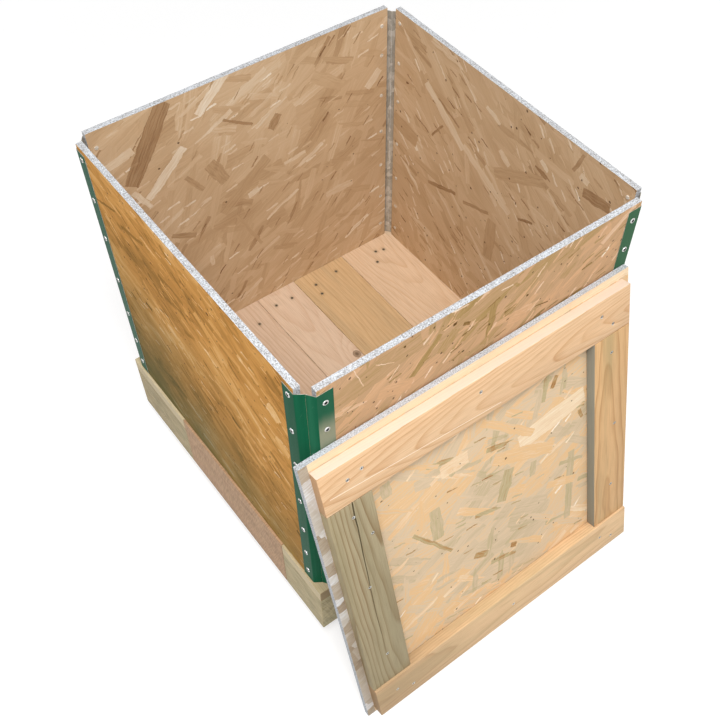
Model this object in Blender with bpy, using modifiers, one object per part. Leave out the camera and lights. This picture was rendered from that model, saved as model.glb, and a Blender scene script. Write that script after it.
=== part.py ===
"""A folding wooden crate: a nailed timber base, a folding sleeve of four strand-board walls
and a loose lid that leans against the front wall.

The walls don't meet at the corners. A sheet-steel strip spans each corner and bends at a crease
down its middle, so that the sleeve folds flat as a parallelogram. Each strip is modelled as two
leaves that meet at the crease, one on each wall.

Frame: +X to the right, -Y towards the lid, +Z up. The origin is on the floor, under the middle
of the base. Metres.
"""

import math

import bmesh
import bpy
from mathutils import Matrix, Vector

# Driving dimensions of the sleeve
CRATE_WIDTH = 0.600
CRATE_DEPTH = 0.600
WALL_HEIGHT = 0.520
BOARD_THICKNESS = 0.010
PANEL_END_INSET = 0.020
CREASE_INSET = 0.011

# Corner strips and their rivets
SHEET_THICKNESS = 0.0007
FLANGE_WIDTH = 0.025
BEND_LEAD = 0.0008
BEND_RADIUS = 0.002
BEND_SEGMENTS = 3
CREASE_CLEARANCE = 0.00075
STRIP_TOP_RECESS = 0.009
STRIP_FOOT_CLEARANCE = 0.002
SIDE_RIVET_HEIGHTS = (0.028, 0.087, 0.160, 0.244, 0.340, 0.420, 0.498)
END_RIVET_HEIGHTS = (0.036, 0.110, 0.190, 0.270, 0.350, 0.433, 0.490)
RIVET_FROM_BEND = 0.0125
RIVET_HEAD_RADIUS = 0.0045
RIVET_HEAD_FLAT = 0.0026
RIVET_HEAD_HEIGHT = 0.0012
RIVET_HEAD_EDGE = 0.0005
RIVET_SHANK_RADIUS = 0.0022
RIVET_TAIL_RADIUS = 0.0036
RIVET_TAIL_HEIGHT = 0.0006
RIVET_SIDES = 8

# Base, from the floor up
SKID_HEIGHT = 0.050
SKID_WIDTH = 0.090
SKID_SETBACK = 0.030
SKID_END_CHAMFER = 0.022
BEARER_HEIGHT = 0.104
FRONT_BEARER_DEPTH = 0.112
REAR_BEARER_DEPTH = 0.178
PLANK_THICKNESS = 0.028
INNER_PLANK_WIDTHS = (0.130, 0.087, 0.119)
PLANK_JOINT = 0.0006
SIDE_BOARD_THICKNESS = 0.013
BASE_OVERHANG = 0.004
EDGE_CHAMFER = 0.0008

# Lid
LID_LENGTH = 0.600
LID_LEAN = math.radians(14.3)
LID_SHIFT = -0.0245
LID_STANDOFF = 0.0025
LID_MARGIN = 0.014
BATTEN_WIDTH = 0.075
FOOT_BATTEN_WIDTH = 0.070
BATTEN_THICKNESS = 0.018
FOOT_BATTEN_THICKNESS = 0.022

# Gap between pieces that touch, and how near two points of one mesh are to count as one
GAP = 0.0003
WELD_DISTANCE = 0.00001

# Levels and outlines that follow from the sizes above
BASE_LEFT = -CRATE_WIDTH / 2 - BASE_OVERHANG
BASE_RIGHT = CRATE_WIDTH / 2 + BASE_OVERHANG
BASE_FRONT = -CRATE_DEPTH / 2 - BASE_OVERHANG
BASE_REAR = CRATE_DEPTH / 2 + BASE_OVERHANG
BEARER_BOTTOM = SKID_HEIGHT + GAP
BEARER_TOP = BEARER_BOTTOM + BEARER_HEIGHT
PLANK_BOTTOM = BEARER_TOP + GAP
DECK_TOP = PLANK_BOTTOM + PLANK_THICKNESS
WALL_BOTTOM = DECK_TOP + GAP
FRONT_BEARER_REAR = BASE_FRONT + FRONT_BEARER_DEPTH
REAR_BEARER_FRONT = BASE_REAR - REAR_BEARER_DEPTH
STRIP_HEIGHT = WALL_HEIGHT - STRIP_TOP_RECESS - STRIP_FOOT_CLEARANCE
SHEET_MIDDLE = -GAP - SHEET_THICKNESS / 2
SHEET_OUTSIDE = -GAP - SHEET_THICKNESS
RIVET_HEAD_BITE = SHEET_THICKNESS / 4
RIVET_HOLE_CUTTER_LENGTH = 4 * BOARD_THICKNESS


def clear_scene():
    """Remove whatever objects the open file holds."""
    for scene_object in list(bpy.data.objects):
        bpy.data.objects.remove(scene_object, do_unlink=True)


def make_collection(name):
    """Make a collection in the scene."""
    collection = bpy.data.collections.new(name)
    bpy.context.scene.collection.children.link(collection)
    return collection


def make_material(name, colour, roughness, metallic=0.0):
    """Make a plain surface of one colour."""
    material = bpy.data.materials.new(name)
    material.use_nodes = True
    surface = material.node_tree.nodes["Principled BSDF"]
    surface.inputs["Base Color"].default_value = (*colour, 1.0)
    surface.inputs["Roughness"].default_value = roughness
    surface.inputs["Metallic"].default_value = metallic
    material.diffuse_color = (*colour, 1.0)
    return material


def add_object(name, mesh, collection, material=None):
    """Put a mesh in a collection as an object."""
    new_object = bpy.data.objects.new(name, mesh)
    collection.objects.link(new_object)
    if material:
        mesh.materials.clear()
        mesh.materials.append(material)
    return new_object


def add_empty(name, location, collection, rotation=(0.0, 0.0, 0.0)):
    """Add an empty that carries pieces which move together."""
    empty = bpy.data.objects.new(name, None)
    empty.location = location
    empty.rotation_euler = rotation
    collection.objects.link(empty)
    return empty


def add_chamfer(target, width):
    """Take the sharp edges off an object."""
    bevel = target.modifiers.new("chamfer", "BEVEL")
    bevel.width = width
    bevel.segments = 1
    bevel.limit_method = "ANGLE"


def add_box(name, low, high, collection, material, chamfer=0.0):
    """Add a box between two corners, with its edges chamfered where a width is given."""
    centre = (Vector(low) + Vector(high)) / 2
    size = Vector(high) - Vector(low)
    mesh = bpy.data.meshes.new(name)
    shape = bmesh.new()
    bmesh.ops.create_cube(shape, size=1.0, matrix=Matrix.Diagonal((*size, 1.0)))
    shape.to_mesh(mesh)
    shape.free()
    box = add_object(name, mesh, collection, material)
    box.location = centre
    if chamfer:
        add_chamfer(box, chamfer)
    return box


def add_boolean(target, other, operation):
    """Cut another object from a target, or join it on. The other object becomes a guide."""
    boolean = target.modifiers.new(operation.lower(), "BOOLEAN")
    boolean.operation = operation
    boolean.solver = "EXACT"
    boolean.object = other
    other.hide_render = True
    other.display_type = "WIRE"


def evaluated_mesh(source, name):
    """Read an object's finished surface as a new mesh, and remove the object."""
    graph = bpy.context.evaluated_depsgraph_get()
    mesh = bpy.data.meshes.new_from_object(source.evaluated_get(graph), depsgraph=graph)
    mesh.name = name
    data = source.data
    bpy.data.objects.remove(source, do_unlink=True)
    if isinstance(data, bpy.types.Curve):
        bpy.data.curves.remove(data)
    return mesh


def make_outline_curve(name, points, closed, depth, collection):
    """Draw a flat outline and give it depth on both sides of its plane."""
    curve = bpy.data.curves.new(name, "CURVE")
    curve.dimensions = "2D" if closed else "3D"
    curve.fill_mode = "BOTH" if closed else "FULL"
    curve.extrude = depth / 2
    spline = curve.splines.new("POLY")
    spline.points.add(len(points) - 1)
    for spline_point, (x, y) in zip(spline.points, points):
        spline_point.co = (x, y, 0.0, 1.0)
    spline.use_cyclic_u = closed
    drawing = bpy.data.objects.new(name, curve)
    collection.objects.link(drawing)
    return drawing


def weld(mesh):
    """Join the points of a mesh that lie on each other."""
    shape = bmesh.new()
    shape.from_mesh(mesh)
    bmesh.ops.remove_doubles(shape, verts=shape.verts, dist=WELD_DISTANCE)
    bmesh.ops.recalc_face_normals(shape, faces=shape.faces)
    shape.to_mesh(mesh)
    shape.free()


def make_rivet_mesh(collection):
    """Turn one rivet about Z: the head stands on z = 0 and the clinched tail is below."""
    tail_top = SHEET_OUTSIDE - BOARD_THICKNESS - GAP
    tail_bottom = tail_top - RIVET_TAIL_HEIGHT
    seat = -RIVET_HEAD_BITE
    profile = (
        (0.0, RIVET_HEAD_HEIGHT),
        (RIVET_HEAD_FLAT, RIVET_HEAD_HEIGHT),
        (RIVET_HEAD_RADIUS, RIVET_HEAD_EDGE),
        (RIVET_HEAD_RADIUS, seat),
        (RIVET_SHANK_RADIUS, seat),
        (RIVET_SHANK_RADIUS, tail_top),
        (RIVET_TAIL_RADIUS, tail_top),
        (RIVET_TAIL_RADIUS, tail_bottom),
        (0.0, tail_bottom),
    )
    mesh = bpy.data.meshes.new("rivet_profile")
    shape = bmesh.new()
    points = [shape.verts.new((radius, 0.0, height)) for radius, height in profile]
    for upper, lower in zip(points, points[1:]):
        shape.edges.new((upper, lower))
    shape.to_mesh(mesh)
    shape.free()
    rivet = add_object("rivet_profile", mesh, collection)
    screw = rivet.modifiers.new("turn", "SCREW")
    screw.axis = "Z"
    screw.steps = RIVET_SIDES
    screw.render_steps = RIVET_SIDES
    screw.use_merge_vertices = True
    screw.merge_threshold = WELD_DISTANCE
    turned = evaluated_mesh(rivet, "rivet")
    weld(turned)
    return turned


def repeat_mesh(name, mesh, places, collection):
    """Copy a mesh to several places in one object, turned so that its +Z points along -Y."""
    turn = Matrix.Rotation(math.radians(90.0), 4, "X")
    row_mesh = bpy.data.meshes.new(name)
    shape = bmesh.new()
    for place in places:
        before = len(shape.verts)
        shape.from_mesh(mesh)
        shape.verts.ensure_lookup_table()
        bmesh.ops.transform(shape, matrix=Matrix.Translation(place) @ turn, verts=shape.verts[before:])
    shape.to_mesh(row_mesh)
    shape.free()
    return add_object(name, row_mesh, collection)


def make_hole_mesh():
    """Make the cutter of one rivet hole, along Z."""
    mesh = bpy.data.meshes.new("rivet_hole")
    shape = bmesh.new()
    bmesh.ops.create_cone(
        shape,
        cap_ends=True,
        segments=RIVET_SIDES,
        radius1=RIVET_SHANK_RADIUS + GAP,
        radius2=RIVET_SHANK_RADIUS + GAP,
        depth=RIVET_HOLE_CUTTER_LENGTH,
    )
    shape.to_mesh(mesh)
    shape.free()
    return mesh


def leaf_outline(half_length):
    """Trace the middle of a corner strip's leaf, from the flange's free edge to the crease.

    The wall's outer face is y = 0 and the leaf is at the wall's +X end. The bend between the
    flange and the facet is an arc.
    """
    bend = Vector((half_length - PANEL_END_INSET + BEND_LEAD, SHEET_MIDDLE))
    free_edge = Vector((bend.x - FLANGE_WIDTH, SHEET_MIDDLE))
    crease = Vector((half_length - CREASE_INSET, CREASE_INSET))
    facet = (crease - bend).normalized()
    turn = math.atan2(facet.y, facet.x)
    tangent = BEND_RADIUS * math.tan(turn / 2)
    arc_centre = Vector((bend.x - tangent, bend.y + BEND_RADIUS))
    points = [free_edge]
    for step in range(BEND_SEGMENTS + 1):
        angle = turn * step / BEND_SEGMENTS
        points.append(arc_centre + BEND_RADIUS * Vector((math.sin(angle), -math.cos(angle))))
    points.append(crease - facet * CREASE_CLEARANCE)
    return points


def rivet_places(half_length, end, heights):
    """Give the middle of each rivet head on one end of a wall."""
    along = end * (half_length - PANEL_END_INSET + BEND_LEAD - RIVET_FROM_BEND)
    return [Vector((along, SHEET_OUTSIDE, height)) for height in heights]


def carry(child, carrier, frame):
    """Parent a piece to its carrier and put it in its wall's frame."""
    carrier_frame = Matrix.Translation(carrier.location)
    child.parent = carrier
    child.matrix_parent_inverse = carrier_frame.inverted()
    child.matrix_basis = frame


def build_leaf(name, half_length, end, heights, rivet, carrier, frame, collections, steel):
    """Build one leaf of a corner strip, with its rivets joined on.

    End is +1 for the wall's +X end and -1 for the other.
    """
    parts, cutters = collections
    points = [(end * point.x, point.y) for point in leaf_outline(half_length)]
    ribbon = make_outline_curve(name, points, False, STRIP_HEIGHT, parts)
    mesh = evaluated_mesh(ribbon, name)
    mesh.transform(Matrix.Translation((0.0, 0.0, STRIP_FOOT_CLEARANCE + STRIP_HEIGHT / 2)))
    weld(mesh)
    leaf = add_object(name, mesh, parts, steel)
    sheet = leaf.modifiers.new("sheet", "SOLIDIFY")
    sheet.thickness = SHEET_THICKNESS
    sheet.offset = 0.0
    sheet.use_even_offset = True
    rivets = repeat_mesh(name + "_rivets", rivet, rivet_places(half_length, end, heights), cutters)
    carry(rivets, carrier, frame)
    add_boolean(leaf, rivets, "UNION")
    carry(leaf, carrier, frame)


def build_wall(side, neighbours, size, turns, heights, carrier, shared, collections, materials):
    """Build a wall panel, drilled for its rivets, and the two leaves riveted to its ends.

    Size is the crate's length along the wall and its breadth across it. Neighbours names the
    walls at the -X and +X ends. Turns counts the quarter turns from the front wall to this one,
    seen from above.
    """
    parts, cutters = collections
    half_length = size[0] / 2
    across = size[1] / 2
    quarter = Matrix.Rotation(turns * math.pi / 2, 4, "Z")
    frame = quarter @ Matrix.Translation((0.0, -across, WALL_BOTTOM))
    reach = half_length - PANEL_END_INSET
    panel = add_box(
        f"{side}_wall_panel",
        (-reach, 0.0, 0.0),
        (reach, BOARD_THICKNESS, WALL_HEIGHT),
        parts,
        materials["board"],
    )
    panel.data.transform(Matrix.Translation(panel.location))
    places = rivet_places(half_length, -1, heights) + rivet_places(half_length, 1, heights)
    holes = repeat_mesh(f"{side}_wall_holes", shared["hole"], places, cutters)
    carry(holes, carrier, frame)
    add_boolean(panel, holes, "DIFFERENCE")
    carry(panel, carrier, frame)
    for end, neighbour in zip((-1, 1), neighbours):
        build_leaf(
            f"{side}_wall_leaf_{neighbour}",
            half_length,
            end,
            heights,
            shared["rivet"],
            carrier,
            frame,
            collections,
            materials["steel"],
        )


def build_sleeve(collections, materials):
    """Build the four walls. Each carrier stands on the axis that its wall folds about."""
    parts, cutters = collections
    shared = {"rivet": make_rivet_mesh(cutters), "hole": make_hole_mesh()}
    axis_x = CRATE_WIDTH / 2 - CREASE_INSET
    axis_y = CRATE_DEPTH / 2 - CREASE_INSET
    walls = (
        ("front", ("left", "right"), END_RIVET_HEIGHTS, (0.0, -axis_y)),
        ("right", ("front", "rear"), SIDE_RIVET_HEIGHTS, (axis_x, -axis_y)),
        ("rear", ("right", "left"), END_RIVET_HEIGHTS, (-axis_x, axis_y)),
        ("left", ("rear", "front"), SIDE_RIVET_HEIGHTS, (-axis_x, -axis_y)),
    )
    for turns, (side, neighbours, heights, axis) in enumerate(walls):
        carrier = add_empty(f"{side}_wall_axis", (*axis, WALL_BOTTOM), parts)
        size = (CRATE_WIDTH, CRATE_DEPTH) if turns % 2 == 0 else (CRATE_DEPTH, CRATE_WIDTH)
        build_wall(
            side, neighbours, size, turns, heights, carrier, shared, collections, materials
        )


def build_skids(parts, materials):
    """Build the three skids under the bearers, with sloped ends."""
    front = BASE_FRONT + SKID_SETBACK
    rear = BASE_REAR - SKID_SETBACK
    outline = (
        (front + SKID_END_CHAMFER, 0.0),
        (rear - SKID_END_CHAMFER, 0.0),
        (rear, SKID_END_CHAMFER),
        (rear, SKID_HEIGHT),
        (front, SKID_HEIGHT),
        (front, SKID_END_CHAMFER),
    )
    side_middle = BASE_RIGHT - SKID_SETBACK - SKID_WIDTH / 2
    stand = Matrix.Rotation(math.radians(90.0), 4, "Z") @ Matrix.Rotation(math.radians(90.0), 4, "X")
    for side, middle in (("left", -side_middle), ("middle", 0.0), ("right", side_middle)):
        name = f"skid_{side}"
        drawing = make_outline_curve(name, outline, True, SKID_WIDTH, parts)
        mesh = evaluated_mesh(drawing, name)
        weld(mesh)
        mesh.transform(stand)
        skid = add_object(name, mesh, parts, materials["skid"])
        skid.location.x = middle


def build_bearers(parts, materials):
    """Build the bearers across the front and the rear, and the side boards between them."""
    for side, front, rear in (
        ("front", BASE_FRONT, FRONT_BEARER_REAR),
        ("rear", REAR_BEARER_FRONT, BASE_REAR),
    ):
        low = (BASE_LEFT, front, BEARER_BOTTOM)
        high = (BASE_RIGHT, rear, BEARER_TOP)
        add_box(f"bearer_{side}", low, high, parts, materials["bearer"], EDGE_CHAMFER)
    for side, left in (("left", BASE_LEFT), ("right", BASE_RIGHT - SIDE_BOARD_THICKNESS)):
        low = (left, FRONT_BEARER_REAR + GAP, BEARER_BOTTOM)
        high = (left + SIDE_BOARD_THICKNESS, REAR_BEARER_FRONT - GAP, DECK_TOP)
        add_box(f"side_board_{side}", low, high, parts, materials["side_board"], EDGE_CHAMFER)


def notch_for_side_board(plank, side, edge, cutters):
    """Cut the outer edge of a plank back to clear the side board that stands flush with it."""
    depth = SIDE_BOARD_THICKNESS + GAP
    low = (edge - depth, FRONT_BEARER_REAR, PLANK_BOTTOM - PLANK_THICKNESS)
    high = (edge + depth, REAR_BEARER_FRONT, DECK_TOP + PLANK_THICKNESS)
    cutter = add_box(f"notch_{side}", low, high, cutters, None)
    add_boolean(plank, cutter, "DIFFERENCE")


def build_deck(collections, materials):
    """Lay the planks from left to right.

    The inner planks lie about the middle, and the outer two fill the rest of the base. These
    are notched for the side boards.
    """
    parts, cutters = collections
    joints = [-sum(INNER_PLANK_WIDTHS) / 2]
    for width in INNER_PLANK_WIDTHS:
        joints.append(joints[-1] + width)
    half_joint = PLANK_JOINT / 2
    starts = [BASE_LEFT] + [joint + half_joint for joint in joints]
    ends = [joint - half_joint for joint in joints] + [BASE_RIGHT]
    names = ("left", "inner_left", "middle", "inner_right", "right")
    outer_edges = {"left": BASE_LEFT, "right": BASE_RIGHT}
    for name, start, end in zip(names, starts, ends):
        low = (start, BASE_FRONT, PLANK_BOTTOM)
        high = (end, BASE_REAR, DECK_TOP)
        plank = add_box(f"deck_plank_{name}", low, high, parts, materials["plank"])
        if name in outer_edges:
            notch_for_side_board(plank, name, outer_edges[name], cutters)
        add_chamfer(plank, EDGE_CHAMFER)


def build_lid(parts, materials):
    """Build the lid upright, in the frame of its carrier, which leans it on the front wall.

    The carrier is at the foot of the panel's plain face. The battens are on the -Y side.
    """
    foot_y = -CRATE_DEPTH / 2 - LID_STANDOFF - LID_LENGTH * math.sin(LID_LEAN)
    carrier = add_empty("lid_foot", (LID_SHIFT, foot_y, GAP), parts, (-LID_LEAN, 0.0, 0.0))
    half_width = CRATE_WIDTH / 2
    face = -BOARD_THICKNESS - GAP
    inner = half_width - LID_MARGIN
    top = LID_LENGTH - LID_MARGIN
    foot_top = LID_MARGIN + FOOT_BATTEN_WIDTH
    side_low = foot_top + GAP
    side_high = top - BATTEN_WIDTH - GAP
    thin = face - BATTEN_THICKNESS
    pieces = [
        add_box(
            "lid_panel",
            (-half_width, -BOARD_THICKNESS, 0.0),
            (half_width, 0.0, LID_LENGTH),
            parts,
            materials["board"],
        )
    ]
    battens = (
        ("top", (-inner, thin, top - BATTEN_WIDTH), (inner, face, top)),
        ("foot", (-inner, face - FOOT_BATTEN_THICKNESS, LID_MARGIN), (inner, face, foot_top)),
        ("left", (-inner, thin, side_low), (BATTEN_WIDTH - inner, face, side_high)),
        ("right", (inner - BATTEN_WIDTH, thin, side_low), (inner, face, side_high)),
    )
    for side, low, high in battens:
        batten = add_box(f"lid_batten_{side}", low, high, parts, materials["batten"], EDGE_CHAMFER)
        pieces.append(batten)
    for piece in pieces:
        piece.parent = carrier


def build_crate():
    """Build the whole crate."""
    clear_scene()
    parts = make_collection("folding_crate")
    cutters = make_collection("cutters")
    collections = (parts, cutters)
    materials = {
        "board": make_material("strand_board", (0.52, 0.34, 0.15), 0.65),
        "steel": make_material("green_steel", (0.01, 0.12, 0.07), 0.3, 0.6),
        "plank": make_material("deck_pine", (0.70, 0.49, 0.31), 0.6),
        "bearer": make_material("bearer_pine", (0.38, 0.34, 0.20), 0.7),
        "side_board": make_material("side_pine", (0.43, 0.27, 0.16), 0.7),
        "skid": make_material("skid_pine", (0.45, 0.33, 0.19), 0.7),
        "batten": make_material("batten_pine", (0.66, 0.48, 0.29), 0.6),
    }
    build_skids(parts, materials)
    build_bearers(parts, materials)
    build_deck(collections, materials)
    build_sleeve(collections, materials)
    build_lid(parts, materials)


if __name__ == "__main__":
    build_crate()
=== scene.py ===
"""The looks of a folding wooden crate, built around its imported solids.

The crate has a nailed timber base, four strand-board walls that are joined by creased steel
strips at the corners, and a loose lid with battens that leans against the front wall. All
places are in metres, in the frame of the solids: +X right, -Y towards the lid, +Z up.
"""

import logging
import math
from collections.abc import Callable, Iterator, Sequence
from contextlib import contextmanager
from dataclasses import dataclass, field, replace
from enum import Enum

import bmesh
import bpy
from mathutils import Euler, Matrix, Vector


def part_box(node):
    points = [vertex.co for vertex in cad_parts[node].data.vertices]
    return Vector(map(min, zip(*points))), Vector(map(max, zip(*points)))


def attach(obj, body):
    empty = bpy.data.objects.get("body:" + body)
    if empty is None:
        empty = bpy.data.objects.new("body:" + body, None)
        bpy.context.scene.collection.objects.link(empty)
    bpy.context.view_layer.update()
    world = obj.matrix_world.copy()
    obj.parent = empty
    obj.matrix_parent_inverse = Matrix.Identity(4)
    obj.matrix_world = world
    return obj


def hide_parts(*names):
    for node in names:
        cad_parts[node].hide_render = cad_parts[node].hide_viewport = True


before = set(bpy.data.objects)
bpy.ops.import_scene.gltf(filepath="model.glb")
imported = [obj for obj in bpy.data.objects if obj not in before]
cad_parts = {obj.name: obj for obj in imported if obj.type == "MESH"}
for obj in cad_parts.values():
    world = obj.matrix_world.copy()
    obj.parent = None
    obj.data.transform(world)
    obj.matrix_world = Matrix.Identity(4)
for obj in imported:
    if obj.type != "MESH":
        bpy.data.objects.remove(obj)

log = logging.getLogger("crate")

Triple = tuple[float, float, float]
Colour = tuple[float, float, float, float]
Socket = bpy.types.NodeSocket
Value = Socket | float | Triple | Colour

UP = Vector((0.0, 0.0, 1.0))
RIGHT = Vector((1.0, 0.0, 0.0))
BACK = Vector((0.0, 1.0, 0.0))

LEVEL: Triple = (0.0, 0.0, 0.0)


# Small conversions


def shade(code: str) -> Colour:
    """Turn a colour as it is seen on a screen into the light that a shader works with.

    Args:
        code: The colour as six hexadecimal digits.

    Returns:
        Red, green, blue and a full alpha.
    """
    parts = []
    for start in (0, 2, 4):
        seen = int(code[start : start + 2], 16) / 255
        parts.append(seen / 12.92 if seen <= 0.04045 else ((seen + 0.055) / 1.055) ** 2.4)
    return (parts[0], parts[1], parts[2], 1.0)


class Pick(Enum):
    """What edit mode selects."""

    POINTS = "VERT"
    EDGES = "EDGE"
    FACES = "FACE"


# The bench: Blender's modelling tools, used as by hand


def deselect_everything() -> None:
    """Leave nothing selected, because an operator acts on all that is."""
    bpy.ops.object.select_all(action="DESELECT")


def hold(*pieces: bpy.types.Object) -> None:
    """Select these pieces alone, and make the first one active.

    Args:
        pieces: The pieces.
    """
    deselect_everything()
    for piece in pieces:
        piece.select_set(True)
    bpy.context.view_layer.objects.active = pieces[0]


def settle(piece: bpy.types.Object) -> None:
    """Put a piece's place, turn and size into its mesh."""
    hold(piece)
    bpy.ops.object.transform_apply(location=True, rotation=True, scale=True)


@contextmanager
def edit_mode(piece: bpy.types.Object, pick: Pick) -> Iterator[None]:
    """Open a piece in edit mode with nothing selected, and leave edit mode afterwards.

    Args:
        piece: The piece to shape.
        pick: What is selected.

    Returns:
        A context, which lasts while the piece is open.
    """
    hold(piece)
    bpy.ops.object.mode_set(mode="EDIT")
    bpy.ops.mesh.select_mode(type=pick.value)
    bpy.ops.mesh.select_all(action="DESELECT")
    try:
        yield
    finally:
        bpy.ops.object.mode_set(mode="OBJECT")


def pick_parts(piece: bpy.types.Object, pick: Pick, test: Callable[..., bool]) -> None:
    """Select the points, edges or faces that pass a test.

    Args:
        piece: The piece that is open in edit mode.
        pick: What is tested.
        test: Takes a point's place, the places of an edge's two ends, or a face's middle and normal.
    """
    shape = bmesh.from_edit_mesh(piece.data)
    if pick is Pick.FACES:
        rows = [(face, face.calc_center_median(), face.normal) for face in shape.faces]
    elif pick is Pick.EDGES:
        rows = [(edge, edge.verts[0].co, edge.verts[1].co) for edge in shape.edges]
    else:
        rows = [(point, point.co) for point in shape.verts]
    for part, *places in rows:
        part.select_set(test(*places))
    if pick is Pick.POINTS:
        shape.select_flush_mode()
    bmesh.update_edit_mesh(piece.data)


def push(distance: Vector | Triple) -> None:
    """Extrude the selected faces by a distance."""
    bpy.ops.mesh.extrude_region_move(TRANSFORM_OT_translate={"value": tuple(distance)})


def draw_in(share: float) -> None:
    """Scale what is selected, across the Z axis, about its own middle."""
    bpy.ops.transform.resize(value=(share, share, 1.0))


def finish_modifier(piece: bpy.types.Object, name: str) -> None:
    """Apply one modifier of a piece."""
    hold(piece)
    bpy.ops.object.modifier_apply(modifier=name)


def new_box(name: str, low: Vector | Triple, high: Vector | Triple) -> bpy.types.Object:
    """Add a box between two corners, to be shaped further.

    Args:
        name: The new piece's name.
        low: Its lowest corner.
        high: Its highest corner.

    Returns:
        The box, with its place in its mesh.
    """
    deselect_everything()
    centre = (Vector(low) + Vector(high)) / 2
    size = Vector(high) - Vector(low)
    bpy.ops.mesh.primitive_cube_add(size=1.0, location=centre, scale=size)
    box = bpy.context.active_object
    box.name = name
    settle(box)
    return box


def copy_piece(source: bpy.types.Object, name: str, matrix: Matrix) -> bpy.types.Object:
    """Copy a piece with its own mesh, to another place.

    Args:
        source: The piece to copy.
        name: The copy's name.
        matrix: Where the copy goes, from the source's place.

    Returns:
        The copy, with its place in its mesh.
    """
    hold(source)
    bpy.ops.object.duplicate(linked=False)
    piece = bpy.context.active_object
    piece.name = name
    piece.matrix_world = matrix @ source.matrix_world
    settle(piece)
    if matrix.determinant() < 0:
        with edit_mode(piece, Pick.FACES):
            face_out()
    return piece


def join_pieces(name: str, pieces: Sequence[bpy.types.Object]) -> bpy.types.Object:
    """Join pieces into one object.

    Args:
        name: Its name.
        pieces: The pieces, of which the first takes in the rest.

    Returns:
        The joined piece.
    """
    hold(*pieces)
    bpy.ops.object.join()
    joined = bpy.context.active_object
    joined.name = name
    return joined


def cut_away(piece: bpy.types.Object, cutter: bpy.types.Object) -> None:
    """Cut one piece out of another, and throw the cutter away.

    Args:
        piece: The piece to cut.
        cutter: What is cut out of it.
    """
    boolean = piece.modifiers.new("cut", "BOOLEAN")
    boolean.operation = "DIFFERENCE"
    boolean.solver = "EXACT"
    boolean.object = cutter
    finish_modifier(piece, boolean.name)
    discard(cutter)


def face_out() -> None:
    """Turn all the faces of the open piece outwards."""
    bpy.ops.mesh.select_all(action="SELECT")
    bpy.ops.mesh.normals_make_consistent(inside=False)


def discard(piece: bpy.types.Object) -> None:
    """Remove a piece that was only a tool."""
    bpy.data.objects.remove(piece, do_unlink=True)


def smooth_by_angle(piece: bpy.types.Object, degrees: float) -> None:
    """Shade a piece smooth where its faces meet at less than an angle."""
    hold(piece)
    bpy.ops.object.shade_smooth_by_angle(angle=math.radians(degrees))


def dress(piece: bpy.types.Object, material: bpy.types.Material) -> None:
    """Give a piece one material.

    Args:
        piece: The piece.
        material: Its material.
    """
    if piece.material_slots:
        for place in piece.material_slots:
            place.material = material
    else:
        piece.data.materials.append(material)


def fit(
    piece: bpy.types.Object,
    body: str,
    slot: str,
    material: bpy.types.Material | None,
    *nodes: str,
) -> None:
    """Dress a new piece, let it ride on its body and report it.

    Args:
        piece: The finished piece.
        body: The body that it moves with.
        slot: The record's material slot for its finish; not used.
        material: Its material, or None where it is dressed already.
        nodes: The solids that it stands for.
    """
    if material:
        dress(piece, material)
    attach(piece, body)
    if nodes:
        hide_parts(*nodes)
    log.info("%s rides on %s", piece.name, body)


def dress_node(name: str, material: bpy.types.Material) -> None:
    """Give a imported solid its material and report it."""
    dress(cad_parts[name], material)
    log.info("%s is dressed in %s", name, material.name)


# Where a pattern lies


@dataclass(frozen=True)
class Placement:
    """The place and the three axes of a board, which its pattern follows."""

    centre: Vector
    along: Vector
    across: Vector
    outward: Vector

    def turn(self) -> Euler:
        """Give the turn from the frame's axes to the board's."""
        return Matrix((self.along, self.across, self.outward)).transposed().to_euler()

    def moved(self, matrix: Matrix) -> "Placement":
        """Carry the placement along with a turned and moved piece.

        Args:
            matrix: The piece's turn and move.

        Returns:
            The placement there.
        """
        turn = matrix.to_3x3()
        axes = (turn @ axis for axis in (self.along, self.across, self.outward))
        return Placement(matrix @ self.centre, *axes)


# Shader work


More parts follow.
